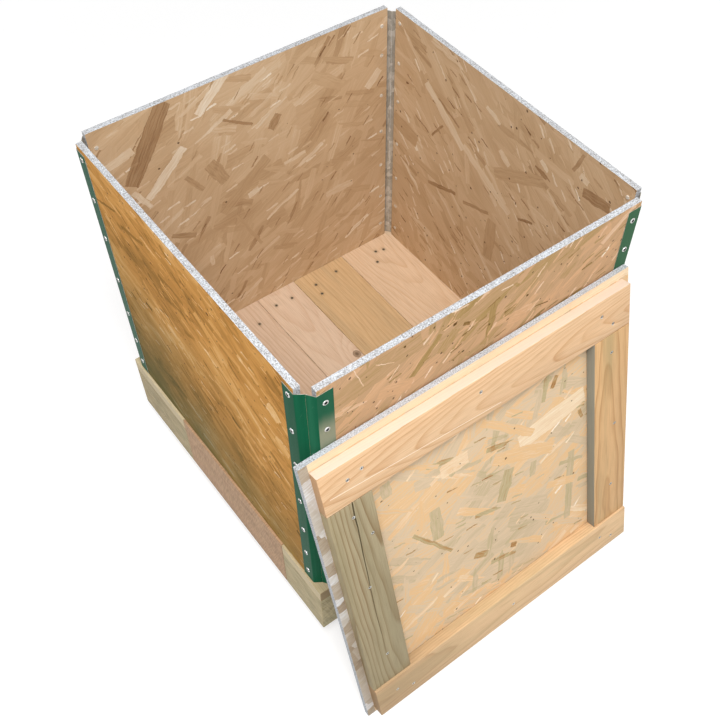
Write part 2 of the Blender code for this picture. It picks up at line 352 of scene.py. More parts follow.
class Shader:
    """A material's nodes and its colour so far, with a short call for each kind of node."""

    def __init__(self, name: str, place: Placement | None = None) -> None:
        """Start a material.

        Args:
            name: The material's name.
            place: The board that its pattern follows, or None for the frame's own axes.
        """
        self.material = bpy.data.materials.new(name)
        self.material.use_nodes = True
        self.tree = self.material.node_tree
        self.surface = self.tree.nodes["Principled BSDF"]
        coordinates = self.tree.nodes.new("ShaderNodeTexCoord")
        self.normal = coordinates.outputs["Normal"]
        self.local = coordinates.outputs["Object"]
        if place:
            self.local = self.seat(self.local, place.centre, place.turn(), (1.0, 1.0, 1.0))
        self.colour: Value = shade("FFFFFF")

    def feed(self, socket: Socket, value: Value) -> None:
        """Link a socket to another, or set it to a constant.

        Args:
            socket: The socket to feed.
            value: The other socket, or the constant.
        """
        if isinstance(value, bpy.types.NodeSocket):
            self.tree.links.new(value, socket)
        else:
            socket.default_value = value

    def add(self, kind: str, feeds: dict[int | str, Value], **settings: str) -> bpy.types.Node:
        """Add a node.

        Args:
            kind: The node's type, without the beginning that all types share.
            feeds: What its inputs get, by their numbers or names.
            settings: Its own settings.

        Returns:
            The node.
        """
        node = self.tree.nodes.new(f"ShaderNode{kind}")
        for name, setting in settings.items():
            setattr(node, name, setting)
        for name, value in feeds.items():
            self.feed(node.inputs[name], value)
        return node

    def math(self, operation: str, *numbers: Value) -> Socket:
        """Work out a number."""
        return self.add("Math", dict(enumerate(numbers)), operation=operation).outputs[0]

    def times(self, first: Value, second: Value) -> Socket:
        """Multiply two numbers."""
        return self.math("MULTIPLY", first, second)

    def scaled(self, number: Value, factor: Value, extra: Value) -> Socket:
        """Multiply a number by a factor and add an extra number."""
        return self.math("MULTIPLY_ADD", number, factor, extra)

    def above(self, first: Value, second: Value) -> Socket:
        """Give 1 where the first number is above the second, and 0 elsewhere."""
        return self.math("GREATER_THAN", first, second)

    def below(self, first: Value, second: Value) -> Socket:
        """Give 1 where the first number is below the second, and 0 elsewhere."""
        return self.math("LESS_THAN", first, second)

    def vector(self, operation: str, *vectors: Value) -> Socket:
        """Work out a vector, or a number for a dot product or a length."""
        node = self.add("VectorMath", dict(enumerate(vectors)), operation=operation)
        return node.outputs["Value" if operation in ("DOT_PRODUCT", "LENGTH") else "Vector"]

    def mix(self, share: Value, first: Value, second: Value, blend: str = "MIX") -> Socket:
        """Blend a share of the second colour over the first. Its inputs 6 and 7 are colours."""
        feeds = {0: share, 6: first, 7: second}
        return self.add("Mix", feeds, data_type="RGBA", blend_type=blend).outputs[2]

    def mix_number(self, share: Value, first: Value, second: Value) -> Socket:
        """Blend a share of the second number over the first. Its inputs 2 and 3 are numbers."""
        return self.add("Mix", {0: share, 2: first, 3: second}).outputs[0]

    def paint(self, share: Value, colour: Value, blend: str = "MIX") -> None:
        """Lay a share of a colour over the colour so far."""
        self.colour = self.mix(share, self.colour, colour, blend)

    def ramp(self, value: Value, stops: Sequence[tuple[float, str]]) -> Socket:
        """Turn a number into a colour along a row of stops.

        Args:
            value: The number, from 0 to 1.
            stops: Each stop's place and colour.

        Returns:
            The colour.
        """
        node = self.add("ValToRGB", {0: value})
        row = node.color_ramp.elements
        while len(row) < len(stops):
            row.new(1.0)
        for stop, (position, code) in zip(row, stops):
            stop.position = position
            stop.color = shade(code)
        return node.outputs[0]

    def curve(self, value: Value, low: float, high: float) -> Socket:
        """Rise smoothly from 0 to 1 while a number goes from one bound to another."""
        feeds = {"Value": value, "From Min": low, "From Max": high}
        return self.add("MapRange", feeds, interpolation_type="SMOOTHSTEP").outputs[0]

    def noise(self, place: Value, scale: float, detail: float = 2.0, flat: bool = False) -> bpy.types.Node:
        """Add a cloud of noise, with finer clouds in it, in three dimensions or in two."""
        feeds = {"Vector": place, "Scale": scale, "Detail": detail}
        return self.add("TexNoise", feeds, noise_dimensions="2D" if flat else "3D")

    def streaks(
        self, place: Value, size: Triple, detail: float = 2.0, turn: Triple = LEVEL
    ) -> bpy.types.Node:
        """Add noise that is drawn out into streaks of one size and direction."""
        return self.noise(self.seat(place, LEVEL, turn, size), 1.0, detail)

    def cells(self, place: Value, flat: bool = True, square: bool = False) -> bpy.types.Node:
        """Divide the surface into cells, each with its own chance colour.

        Args:
            place: Where they are read.
            flat: Whether they are read in two dimensions only.
            square: Whether the distance from a cell's middle is measured as in a square.

        Returns:
            The node.
        """
        feeds = {"Vector": place, "Scale": 1.0}
        distance = "CHEBYCHEV" if square else "EUCLIDEAN"
        return self.add("TexVoronoi", feeds, voronoi_dimensions="2D" if flat else "3D", distance=distance)

    def split(self, vector: Value) -> tuple[Socket, ...]:
        """Take a vector or a colour apart into its three numbers."""
        return tuple(self.add("SeparateXYZ", {0: vector}).outputs)

    def unite(self, *numbers: Value) -> Socket:
        """Put three numbers together as a vector."""
        return self.add("CombineXYZ", dict(enumerate(numbers))).outputs[0]

    def spin(self, vector: Value, angle: Value) -> Socket:
        """Turn a vector about the Z axis by an angle that may change from place to place."""
        feeds = {"Vector": vector, "Angle": angle}
        return self.add("VectorRotate", feeds, rotation_type="Z_AXIS").outputs[0]

    def seat(self, vector: Value, location: Value, turn: Value, size: Value) -> Socket:
        """Read a vector in the axes of a moved, turned and stretched pattern."""
        feeds = {"Vector": vector, "Location": location, "Rotation": turn, "Scale": size}
        return self.add("Mapping", feeds, vector_type="TEXTURE").outputs[0]

    def facing(self, direction: Vector) -> Socket:
        """Tell how far the surface faces a direction, from -1 to 1."""
        return self.vector("DOT_PRODUCT", self.normal, tuple(direction))

    def relief(self, height: Value, depth: float, strength: float) -> None:
        """Let a height from 0 to 1 shade the surface, as deep in metres and as strong as is given."""
        feeds = {"Strength": strength, "Distance": depth, "Height": height}
        self.feed(self.surface.inputs["Normal"], self.add("Bump", feeds).outputs[0])

    def coat(self, roughness: Value, metallic: Value = 0.0, gloss: float = 0.5) -> bpy.types.Material:
        """Finish the surface with the colour so far.

        Args:
            roughness: How rough it is.
            metallic: How much of it is metal.
            gloss: How strongly it shines where it isn't metal.

        Returns:
            The finished material.
        """
        self.feed(self.surface.inputs["Base Color"], self.colour)
        self.feed(self.surface.inputs["Roughness"], roughness)
        self.feed(self.surface.inputs["Metallic"], metallic)
        self.feed(self.surface.inputs["Specular IOR Level"], gloss)
        return self.material


# Finishes


@dataclass(frozen=True)
class Layer:
    """One layer of wood flakes, pressed flat into a board in one direction."""

    angle: float
    length: float
    width: float
    cover: float
    dark: float
    pale: float


LAYERS = (
    Layer(6.0, 0.170, 0.050, 1.00, 0.43, 0.59),
    Layer(-24.0, 0.150, 0.036, 0.55, 0.38, 0.64),
    Layer(31.0, 0.130, 0.030, 0.50, 0.36, 0.64),
    Layer(-9.0, 0.140, 0.026, 0.45, 0.38, 0.66),
    Layer(16.0, 0.120, 0.020, 0.42, 0.34, 0.70),
    Layer(-34.0, 0.095, 0.016, 0.22, 0.34, 0.74),
    Layer(58.0, 0.070, 0.014, 0.09, 0.28, 0.66),
    Layer(9.0, 0.085, 0.010, 0.07, 0.64, 0.84),
    Layer(-16.0, 0.060, 0.010, 0.04, 0.16, 0.32),
    Layer(22.0, 0.026, 0.0045, 0.035, 0.74, 0.94),
    Layer(-12.0, 0.024, 0.0032, 0.035, 0.08, 0.26),
)


@dataclass(frozen=True)
class Flake:
    """One large flake that stands out on a board's face, in the board's own directions."""

    along: float
    up: float
    angle: float
    length: float
    width: float
    tone: float

    def seat(self, shader: Shader, place: Socket) -> Socket:
        """Read a place in the flake's own axes, in which its edges are at -1 and 1."""
        size = (self.length / 2, self.width / 2, 1.0)
        return shader.seat(place, (self.along, self.up, 0.0), (0.0, 0.0, math.radians(self.angle)), size)


def list_flakes(*rows: tuple[float, ...]) -> tuple[Flake, ...]:
    """Make a flake from each row: its place along and up, angle, length, width and tone."""
    return tuple(Flake(*row) for row in rows)


# The tones of wood and steel: places from 0 to 1 and their colours

# Inner faces: the board's colour made lighter and less saturated, partly as painted fill light
INSIDE_AND_FILL_LIGHT_TONES = (
    (0.0, "7F5E43"), (0.15, "A1805E"), (0.32, "BA9B77"), (0.50, "C7A986"), (0.66, "CFB391"),
    (0.82, "DAC4A7"), (1.0, "EADDC9"),
)
GOLDEN_TONES = (
    (0.0, "644320"), (0.15, "8F672E"), (0.32, "B17D3A"), (0.50, "C98F46"), (0.66, "D89F54"),
    (0.82, "E7B878"), (1.0, "F8E1B8"),
)
FRONT_TONES = (
    (0.0, "6B4D2B"), (0.15, "937245"), (0.32, "AE905D"), (0.50, "C6A07B"), (0.66, "D6AA81"),
    (0.82, "E2C1A0"), (1.0, "FBEEDA"),
)
LID_TONES = (
    (0.0, "94673D"), (0.12, "B48C5D"), (0.22, "B9A982"), (0.36, "CBB596"), (0.50, "D7BFA0"),
    (0.62, "E1B988"), (0.74, "E4C6A2"), (0.86, "ECD5B4"), (1.0, "F7EBDD"),
)
# Pale bluish-white tones of the sawn edges: partly their own colour, partly painted highlight
SAWN_AND_HIGHLIGHT_TONES = (
    (0.30, "5C5752"), (0.40, "979BA1"), (0.52, "BEC4CC"), (0.70, "E2E7EC"),
)
BLOCK_TONES = (
    (0.0, "8F7C66"), (0.25, "AA9A86"), (0.50, "B8AC9C"), (0.75, "C6BFB6"), (1.0, "DCDCDD"),
)
RING_TONES = ((0.0, "000000"), (0.45, "2A2A2A"), (0.80, "C8C8C8"), (0.92, "FFFFFF"), (1.0, "000000"))
FIBRE_TONES = ((0.25, "D6CEC4"), (0.5, "F5F3F1"), (0.75, "FFFFFF"))
SAW_LINE_TONES = ((0.35, "C9C2B8"), (0.6, "FFFFFF"))
KNOT_SHARES = ((0.0, "FFFFFF"), (0.55, "D8D8D8"), (0.95, "F0F0F0"), (1.15, "000000"))
KNOT_TONES = ((0.0, "75604C"), (0.45, "927A60"), (0.8, "7C6652"))
LACQUER_TONES = ((0.25, "0E5339"), (0.5, "165C40"), (0.8, "24694C"))
ZINC_TONES = ((0.0, "A59F93"), (0.5, "BAB4A8"), (1.0, "D0CBC1"))

# The large flakes of each board, placed from the photograph, in metres from its middle

FRONT_FLAKES = list_flakes(
    (-0.190, 0.228, 12, 0.150, 0.045, 0.43), (-0.020, 0.235, 18, 0.140, 0.030, 0.44),
    (-0.110, 0.198, 50, 0.078, 0.012, 0.27), (-0.070, 0.204, 54, 0.041, 0.022, 0.38),
    (-0.048, 0.256, 55, 0.041, 0.009, 0.32), (-0.157, 0.169, -17, 0.059, 0.027, 0.64),
    (0.058, 0.166, -8, 0.038, 0.023, 0.64), (-0.217, 0.237, -71, 0.045, 0.0015, 0.88),
    (-0.176, 0.235, -28, 0.036, 0.0015, 0.88), (-0.161, 0.205, 53, 0.026, 0.002, 0.88),
    (-0.055, 0.258, -4, 0.027, 0.0025, 0.96), (0.028, 0.243, -4, 0.021, 0.0025, 0.94),
    (-0.061, 0.232, -2, 0.006, 0.005, -0.20), (-0.144, 0.246, -13, 0.004, 0.004, -0.20),
    (-0.039, 0.217, -27, 0.015, 0.007, 0.08), (0.106, 0.160, -11, 0.028, 0.003, 0.04),
    (0.071, 0.201, -10, 0.004, 0.004, -0.10),
)
RIGHT_FLAKES = list_flakes(
    (-0.052, 0.125, -27, 0.126, 0.025, 0.34), (-0.005, -0.053, -89, 0.093, 0.028, 0.32),
    (0.245, 0.033, 10, 0.071, 0.037, 0.34), (0.138, 0.129, 35, 0.130, 0.019, 0.84),
    (0.021, 0.069, 26, 0.144, 0.017, 0.80), (0.133, -0.028, -18, 0.080, 0.009, 0.14),
    (0.039, -0.008, -17, 0.070, 0.008, 0.20), (-0.215, 0.193, -6, 0.056, 0.022, 0.12),
    (0.021, 0.202, 24, 0.038, 0.010, 0.84), (-0.015, 0.140, 34, 0.032, 0.013, 0.80),
    (-0.102, 0.183, 32, 0.024, 0.010, 0.86), (-0.185, 0.213, 18, 0.019, 0.014, 0.82),
    (0.155, 0.088, -55, 0.046, 0.005, 0.12), (-0.168, 0.233, -69, 0.042, 0.007, 0.18),
    (0.129, 0.142, 24, 0.063, 0.005, 0.16), (-0.082, 0.051, -22, 0.036, 0.006, 0.06),
    (0.154, -0.068, 27, 0.061, 0.010, 0.70), (0.243, 0.135, -20, 0.007, 0.005, -0.30),
)
LEFT_FLAKES = list_flakes(
    (0.034, 0.259, -4, 0.054, 0.018, 0.72), (0.066, 0.149, -25, 0.089, 0.018, 0.70),
    (0.097, 0.088, -18, 0.100, 0.016, 0.72), (0.221, 0.144, -34, 0.030, 0.026, 0.86),
    (0.235, 0.082, -20, 0.034, 0.018, 0.80), (0.030, 0.184, -22, 0.059, 0.008, 0.24),
    (0.234, 0.223, -29, 0.036, 0.011, 0.22), (0.212, 0.017, -20, 0.036, 0.008, 0.20),
    (-0.144, 0.182, 16, 0.075, 0.008, 0.18), (-0.222, 0.184, 20, 0.075, 0.005, 0.14),
    (0.148, 0.186, -19, 0.014, 0.010, 0.86), (-0.153, 0.020, -8, 0.020, 0.007, 0.00),
    (-0.111, -0.045, -37, 0.014, 0.004, 0.00), (0.070, 0.205, -4, 0.006, 0.005, -0.20),
    (-0.213, -0.008, -17, 0.018, 0.006, 0.06), (0.097, -0.019, -19, 0.024, 0.008, 0.06),
)
REAR_FLAKES = list_flakes(
    (0.245, 0.191, -16, 0.062, 0.017, 0.84), (0.218, 0.100, 60, 0.050, 0.010, 0.88),
    (0.190, 0.197, -57, 0.150, 0.033, 0.12), (0.169, 0.130, -42, 0.104, 0.018, 0.93),
    (0.068, 0.238, -41, 0.078, 0.018, 0.95), (-0.250, 0.133, -43, 0.040, 0.018, 0.86),
    (-0.152, 0.170, 37, 0.074, 0.025, 0.46), (-0.041, 0.136, -56, 0.030, 0.017, 0.17),
    (0.028, 0.167, 32, 0.061, 0.006, 0.15), (0.078, 0.086, 63, 0.057, 0.026, 0.27),
    (0.123, 0.085, 55, 0.051, 0.010, 0.27), (0.030, 0.033, -37, 0.127, 0.026, 0.33),
    (0.015, 0.010, -15, 0.023, 0.014, 0.88), (-0.075, 0.043, -7, 0.047, 0.009, 0.82),
    (0.117, -0.099, -89, 0.026, 0.010, 0.80), (0.161, -0.012, 28, 0.051, 0.011, 0.20),
    (0.033, -0.071, 65, 0.104, 0.008, 0.36), (-0.169, -0.077, -2, 0.061, 0.019, 0.76),
)
LID_FLAKES = list_flakes(
    (0.000, 0.294, 0, 0.610, 0.016, 0.84), (0.136, 0.096, 6, 0.142, 0.040, 0.86),
    (0.074, 0.062, -25, 0.135, 0.029, 0.64), (0.046, 0.137, -42, 0.131, 0.017, 0.62),
    (0.032, 0.020, 71, 0.066, 0.025, 0.20), (0.169, -0.084, 85, 0.159, 0.018, 0.26),
    (0.108, 0.145, 74, 0.054, 0.013, 0.38), (0.143, 0.168, 62, 0.024, 0.010, 0.05),
    (-0.107, 0.038, 89, 0.068, 0.025, 0.25), (-0.119, 0.002, -53, 0.110, 0.008, 0.14),
    (0.090, 0.015, 83, 0.032, 0.014, 0.27), (0.038, -0.133, -28, 0.015, 0.012, 0.03),
    (-0.031, -0.101, -30, 0.030, 0.016, 0.10), (-0.116, 0.171, -34, 0.067, 0.008, 0.62),
    (-0.181, 0.171, -90, 0.029, 0.019, 0.30), (-0.068, 0.127, -76, 0.027, 0.012, 0.24),
    (-0.060, 0.134, -1, 0.053, 0.030, 0.80), (0.151, -0.062, -24, 0.070, 0.018, 0.66),
    (0.198, 0.066, -78, 0.021, 0.007, 0.07),
)


@dataclass(frozen=True)
class StrandBoard:
    """Oriented strand board: layered flakes on both faces, and pale sawn edges, partly a painted
    highlight.
    """

    name: str
    place: Placement
    seed: float
    outside: Sequence[tuple[float, str]]
    contrast: float
    turned: tuple[float, float]
    spread: float = 1.0
    flakes_outside: tuple[Flake, ...] = ()
    flakes_inside: tuple[Flake, ...] = ()
    cloudy: float = 0.40
    size: float = 1.0
    flecks: float = 1.0
    pitted: float = 0.06
    blocks: float = 0.25
    margin_from: float = 0.0
    # Strength of the painted green floor-bounce light on the foot of the outer face
    floor_bounce: float = 0.0

    # The same on every board
    face_shift: tuple[float, float] = (0.83, 3.0)
    cloud_scale: float = 6.0
    frays: tuple[tuple[float, float], ...] = ((45.0, 0.007), (330.0, 0.0022))
    layer_step: tuple[float, float] = (0.31, 0.17)
    layer_fibre: float = 0.40
    layer_stretch: tuple[float, float] = (1.3, 380.0)
    layer_strength: tuple[float, float] = (0.5, 0.40)
    fibre_height: float = 0.3
    fleck_length: float = 0.03
    cell_edge: float = 0.47
    flake_fibre: float = 0.34
    flake_stretch: tuple[float, float] = (1.2, 190.0)
    flake_step: float = 70.0
    flake_taper: float = 0.18
    flake_share: float = 0.88
    floor_bounce_slope: float = 0.35
    floor_bounce_cloud: float = 0.30
    floor_bounce_scale: float = 9.0
    floor_bounce_levels: tuple[float, float] = (-0.30, 0.34)
    pit_size: Triple = (0.015, 0.012, 1.0)
    pit_turn: Triple = (0.0, 0.0, 0.5)
    pit_radii: tuple[float, float] = (0.02, 0.15)
    pit_share: float = 0.8
    margin_flake: Triple = (0.060, 0.022, 1.0)
    margin_fibre: Triple = (0.02, 0.0025, 1.0)
    margin_fibre_share: float = 0.5
    margin_turn: Triple = (0.0, 0.0, 0.25)
    margin_tone: tuple[float, float] = (0.9, -0.15)
    speck_stretch: Triple = (1.0, 1.0, 0.6)
    speck_scale: float = 430.0
    strand_end: Triple = (0.017, 0.017, 0.0035)
    grit_scale: float = 900.0
    rim_facing: float = 0.5
    depth: float = 0.0006
    relief: float = 0.5
    roughness: tuple[float, float] = (-0.12, 0.62)
    gloss: float = 0.03

    def make(self) -> bpy.types.Material:
        """Make the material.

        Returns:
            The material.
        """
        shader = Shader(self.name, self.place)
        front = shader.above(shader.facing(self.place.outward), 0.0)
        back = shader.math("SUBTRACT", 1.0, front)
        frayed = self.fray(shader)
        outer_turn, inner_turn = (-math.radians(degrees) for degrees in self.turned)
        turn = shader.mix_number(front, inner_turn, outer_turn)
        start = shader.unite(shader.scaled(front, *self.face_shift), self.seed, 0.0)
        point = shader.spin(shader.vector("ADD", frayed, start), turn)
        tone, height = self.pressed(shader, point)
        cloud = shader.noise(point, self.cloud_scale).outputs[0]
        tone = shader.scaled(cloud, self.cloudy, shader.math("SUBTRACT", tone, self.cloudy / 2))
        tone = shader.scaled(tone, self.contrast, 0.5 - 0.5 * self.contrast)
        tone = self.lay(shader, frayed, front, self.flakes_outside, tone)
        tone = self.lay(shader, frayed, back, self.flakes_inside, tone)
        # Inner faces take tones with painted fill light in them, outer faces their own
        shader.colour = shader.mix(front, shader.ramp(tone, INSIDE_AND_FILL_LIGHT_TONES), shader.ramp(tone, self.outside))
        # Painted light: olive green bounce from the floor, laid low on the outer face
        if self.floor_bounce:
            self.paint_floor_bounce(shader, front)
        self.pit(shader, point)
        if self.margin_from:
            self.edge_margin(shader, front, frayed)
        # The sawn edges, made pale partly as a painted highlight
        rim = shader.below(shader.math("ABSOLUTE", shader.facing(self.place.outward)), self.rim_facing)
        shader.paint(rim, self.sawn(shader))
        grit = shader.noise(shader.local, self.grit_scale).outputs[0]
        shader.relief(shader.scaled(grit, self.fibre_height, height), self.depth, self.relief)
        return shader.coat(shader.scaled(tone, *self.roughness), gloss=self.gloss)

    def fray(self, shader: Shader) -> Socket:
        """Shift places a little, so that no flake has a ruled edge.

        Args:
            shader: The material's nodes.

        Returns:
            The shifted place on the board.
        """
        moved = shader.local
        for scale, reach in self.frays:
            chance = shader.noise(shader.local, scale).outputs["Color"]
            shift = shader.vector("SUBTRACT", chance, (0.5, 0.5, 0.5))
            moved = shader.vector("MULTIPLY_ADD", shift, (reach, reach, 0.0), moved)
        return moved

    def pressed(self, shader: Shader, point: Socket) -> tuple[Value, Value]:
        """Press the layers of flakes over each other.

        Args:
            shader: The material's nodes.
            point: The place on the board.

        Returns:
            The tone and the height of the topmost flake, each from 0 to 1.
        """
        tone: Value = 0.5
        height: Value = 0.0
        for number, layer in enumerate(LAYERS):
            turn = (0.0, 0.0, math.radians(layer.angle * self.spread))
            start = (self.layer_step[0] * number, self.layer_step[1] * number, 0.0)
            size = (layer.length * self.size, layer.width * self.size, 1.0)
            cell_place = shader.seat(point, start, turn, size)
            cell = shader.cells(cell_place, square=True)
            chance, own_tone, own_height = shader.split(cell.outputs["Color"])
            stretch = (self.layer_stretch[0], self.layer_stretch[1] * layer.width, 0.0)
            fibre_place = shader.vector("MULTIPLY_ADD", cell_place, stretch, cell.outputs["Color"])
            fibre = shader.noise(fibre_place, scale=1.0, detail=3.0, flat=True).outputs[0]
            lowest = layer.dark - self.layer_fibre / 2
            own_tone = shader.scaled(own_tone, layer.pale - layer.dark, lowest)
            own_tone = shader.scaled(fibre, self.layer_fibre, own_tone)
            own_height = shader.scaled(fibre, self.fibre_height, own_height)
            if layer.cover == 1.0:
                tone, height = own_tone, own_height
                continue
            cover = layer.cover * (self.flecks if layer.length < self.fleck_length else 1.0)
            chosen = shader.above(chance, 1.0 - cover)
            within = shader.below(cell.outputs["Distance"], self.cell_edge)
            strength = shader.scaled(own_height, *self.layer_strength)
            shown = shader.times(shader.times(chosen, within), strength)
            tone = shader.mix_number(shown, tone, own_tone)
            height = shader.mix_number(shown, height, own_height)
        return tone, height

    def lay(
        self, shader: Shader, place: Socket, side: Socket, flakes: Sequence[Flake], tone: Value
    ) -> Value:
        """Lay the large flakes on one face.

        Args:
            shader: The material's nodes.
            place: The place on the board.
            side: 1 on the face that the flakes are on.
            flakes: The flakes.
            tone: The tone so far.

        Returns:
            The tone with the flakes.
        """
        for flake in flakes:
            own = flake.seat(shader, place)
            stretch = (self.flake_stretch[0], self.flake_stretch[1] * flake.width, 0.0)
            start = (flake.along * self.flake_step, 0.0, 0.0)
            grain = shader.vector("MULTIPLY_ADD", own, stretch, start)
            fibre = shader.noise(grain, scale=1.0, flat=True).outputs[0]
            length, width, _ = shader.split(shader.vector("ABSOLUTE", own))
            reach = shader.math("MAXIMUM", length, shader.scaled(length, self.flake_taper, width))
            within = shader.times(shader.below(reach, 1.0), side)
            own_tone = shader.scaled(fibre, self.flake_fibre, flake.tone - self.flake_fibre / 2)
            tone = shader.mix_number(shader.times(within, self.flake_share), tone, own_tone)
        return tone

    def paint_floor_bounce(self, shader: Shader, front: Socket) -> None:
        """Lay olive colour on the foot of the outer face, in clouds: painted green bounce light from the
        floor.

        Args:
            shader: The material's nodes.
            front: 1 on the outer face.
        """
        along, up, _ = shader.split(shader.local)
        cloud = shader.noise(shader.local, self.floor_bounce_scale, detail=3.0).outputs[0]
        level = shader.scaled(along, self.floor_bounce_slope, shader.scaled(cloud, self.floor_bounce_cloud, up))
        bounce_share = shader.math("SUBTRACT", 1.0, shader.curve(level, *self.floor_bounce_levels))
        shader.paint(shader.times(shader.times(bounce_share, self.floor_bounce), front), shade("4A5028"))

    def pit(self, shader: Shader, point: Socket) -> None:
        """Add small dark pits and specks of bark between the flakes.

        Args:
            shader: The material's nodes.
            point: The place on the board.
        """
        spot = shader.cells(shader.seat(point, LEVEL, self.pit_turn, self.pit_size))
        chance, size, _ = shader.split(spot.outputs["Color"])
        smallest, largest = self.pit_radii
        near = shader.below(spot.outputs["Distance"], shader.scaled(size, largest - smallest, smallest))
        pit = shader.times(near, shader.above(chance, 1.0 - self.pitted))
        shader.paint(shader.times(pit, self.pit_share), shade("4A3420"))

    def edge_margin(self, shader: Shader, front: Socket, frayed: Socket) -> None:
        """Show the short grey flakes that lie across the board's left margin.

        Args:
            shader: The material's nodes.
            front: 1 on the outer face.
            frayed: The place on the board, shifted a little.
        """
        outer = shader.below(shader.split(shader.local)[0], self.margin_from)
        cell = shader.cells(shader.seat(frayed, LEVEL, self.margin_turn, self.margin_flake), square=True)
        fibre_place = shader.seat(shader.local, LEVEL, self.margin_turn, self.margin_fibre)
        fibre = shader.noise(fibre_place, scale=1.0, flat=True).outputs[0]
        tone = shader.scaled(shader.split(cell.outputs["Color"])[0], *self.margin_tone)
        tone = shader.scaled(fibre, self.margin_fibre_share, tone)
        shader.paint(shader.times(outer, front), shader.ramp(tone, BLOCK_TONES))

    def sawn(self, shader: Shader) -> Socket:
        """Give the colour of the sawn edges, where the flakes are seen from their ends, made pale partly
        as a painted highlight where the edges catch the light.

        Args:
            shader: The material's nodes.

        Returns:
            The colour.
        """
        speck_place = shader.seat(shader.local, LEVEL, LEVEL, self.speck_stretch)
        pale = shader.ramp(shader.noise(speck_place, self.speck_scale).outputs[0], SAWN_AND_HIGHLIGHT_TONES)
        ends = shader.cells(shader.seat(shader.local, LEVEL, LEVEL, self.strand_end), flat=False)
        blocks = shader.ramp(shader.split(ends.outputs["Color"])[0], BLOCK_TONES)
        return shader.mix(self.blocks, pale, blocks)


@dataclass(frozen=True)
class Knot:
    """A knot, a stain or a spot of painted shade on a board's face: its place along and across the board,
    and its radius.
    """

    along: float
    across: float
    radius: float

    def near(self, shader: Shader, stretch: float) -> Socket:
        """Give the square of the distance from the knot, in its radii, drawn out along the grain.

        Args:
            shader: The material's nodes.
            stretch: How far it is drawn out.

        Returns:
            The square of the distance.
        """
        size = (self.radius * stretch, self.radius, 1.0)
        offset = shader.seat(shader.local, (self.along, self.across, 0.0), LEVEL, size)
        flat = shader.vector("MULTIPLY", offset, (1.0, 1.0, 0.0))
        return shader.vector("DOT_PRODUCT", flat, flat)

    def fade(self, shader: Shader, stretch: float, rate: float) -> Socket:
        """Give a share that is 1 at the knot's middle and fades out from it at a rate."""
        return shader.math("EXPONENT", shader.times(self.near(shader, stretch), rate))


@dataclass(frozen=True)
class PaintedLightSide:
    """A side of a board given painted light, a highlight or a shade on the faces that point one way: where
    it points, the colour and its share.
    """

    direction: Vector
    colour: str
    share: float


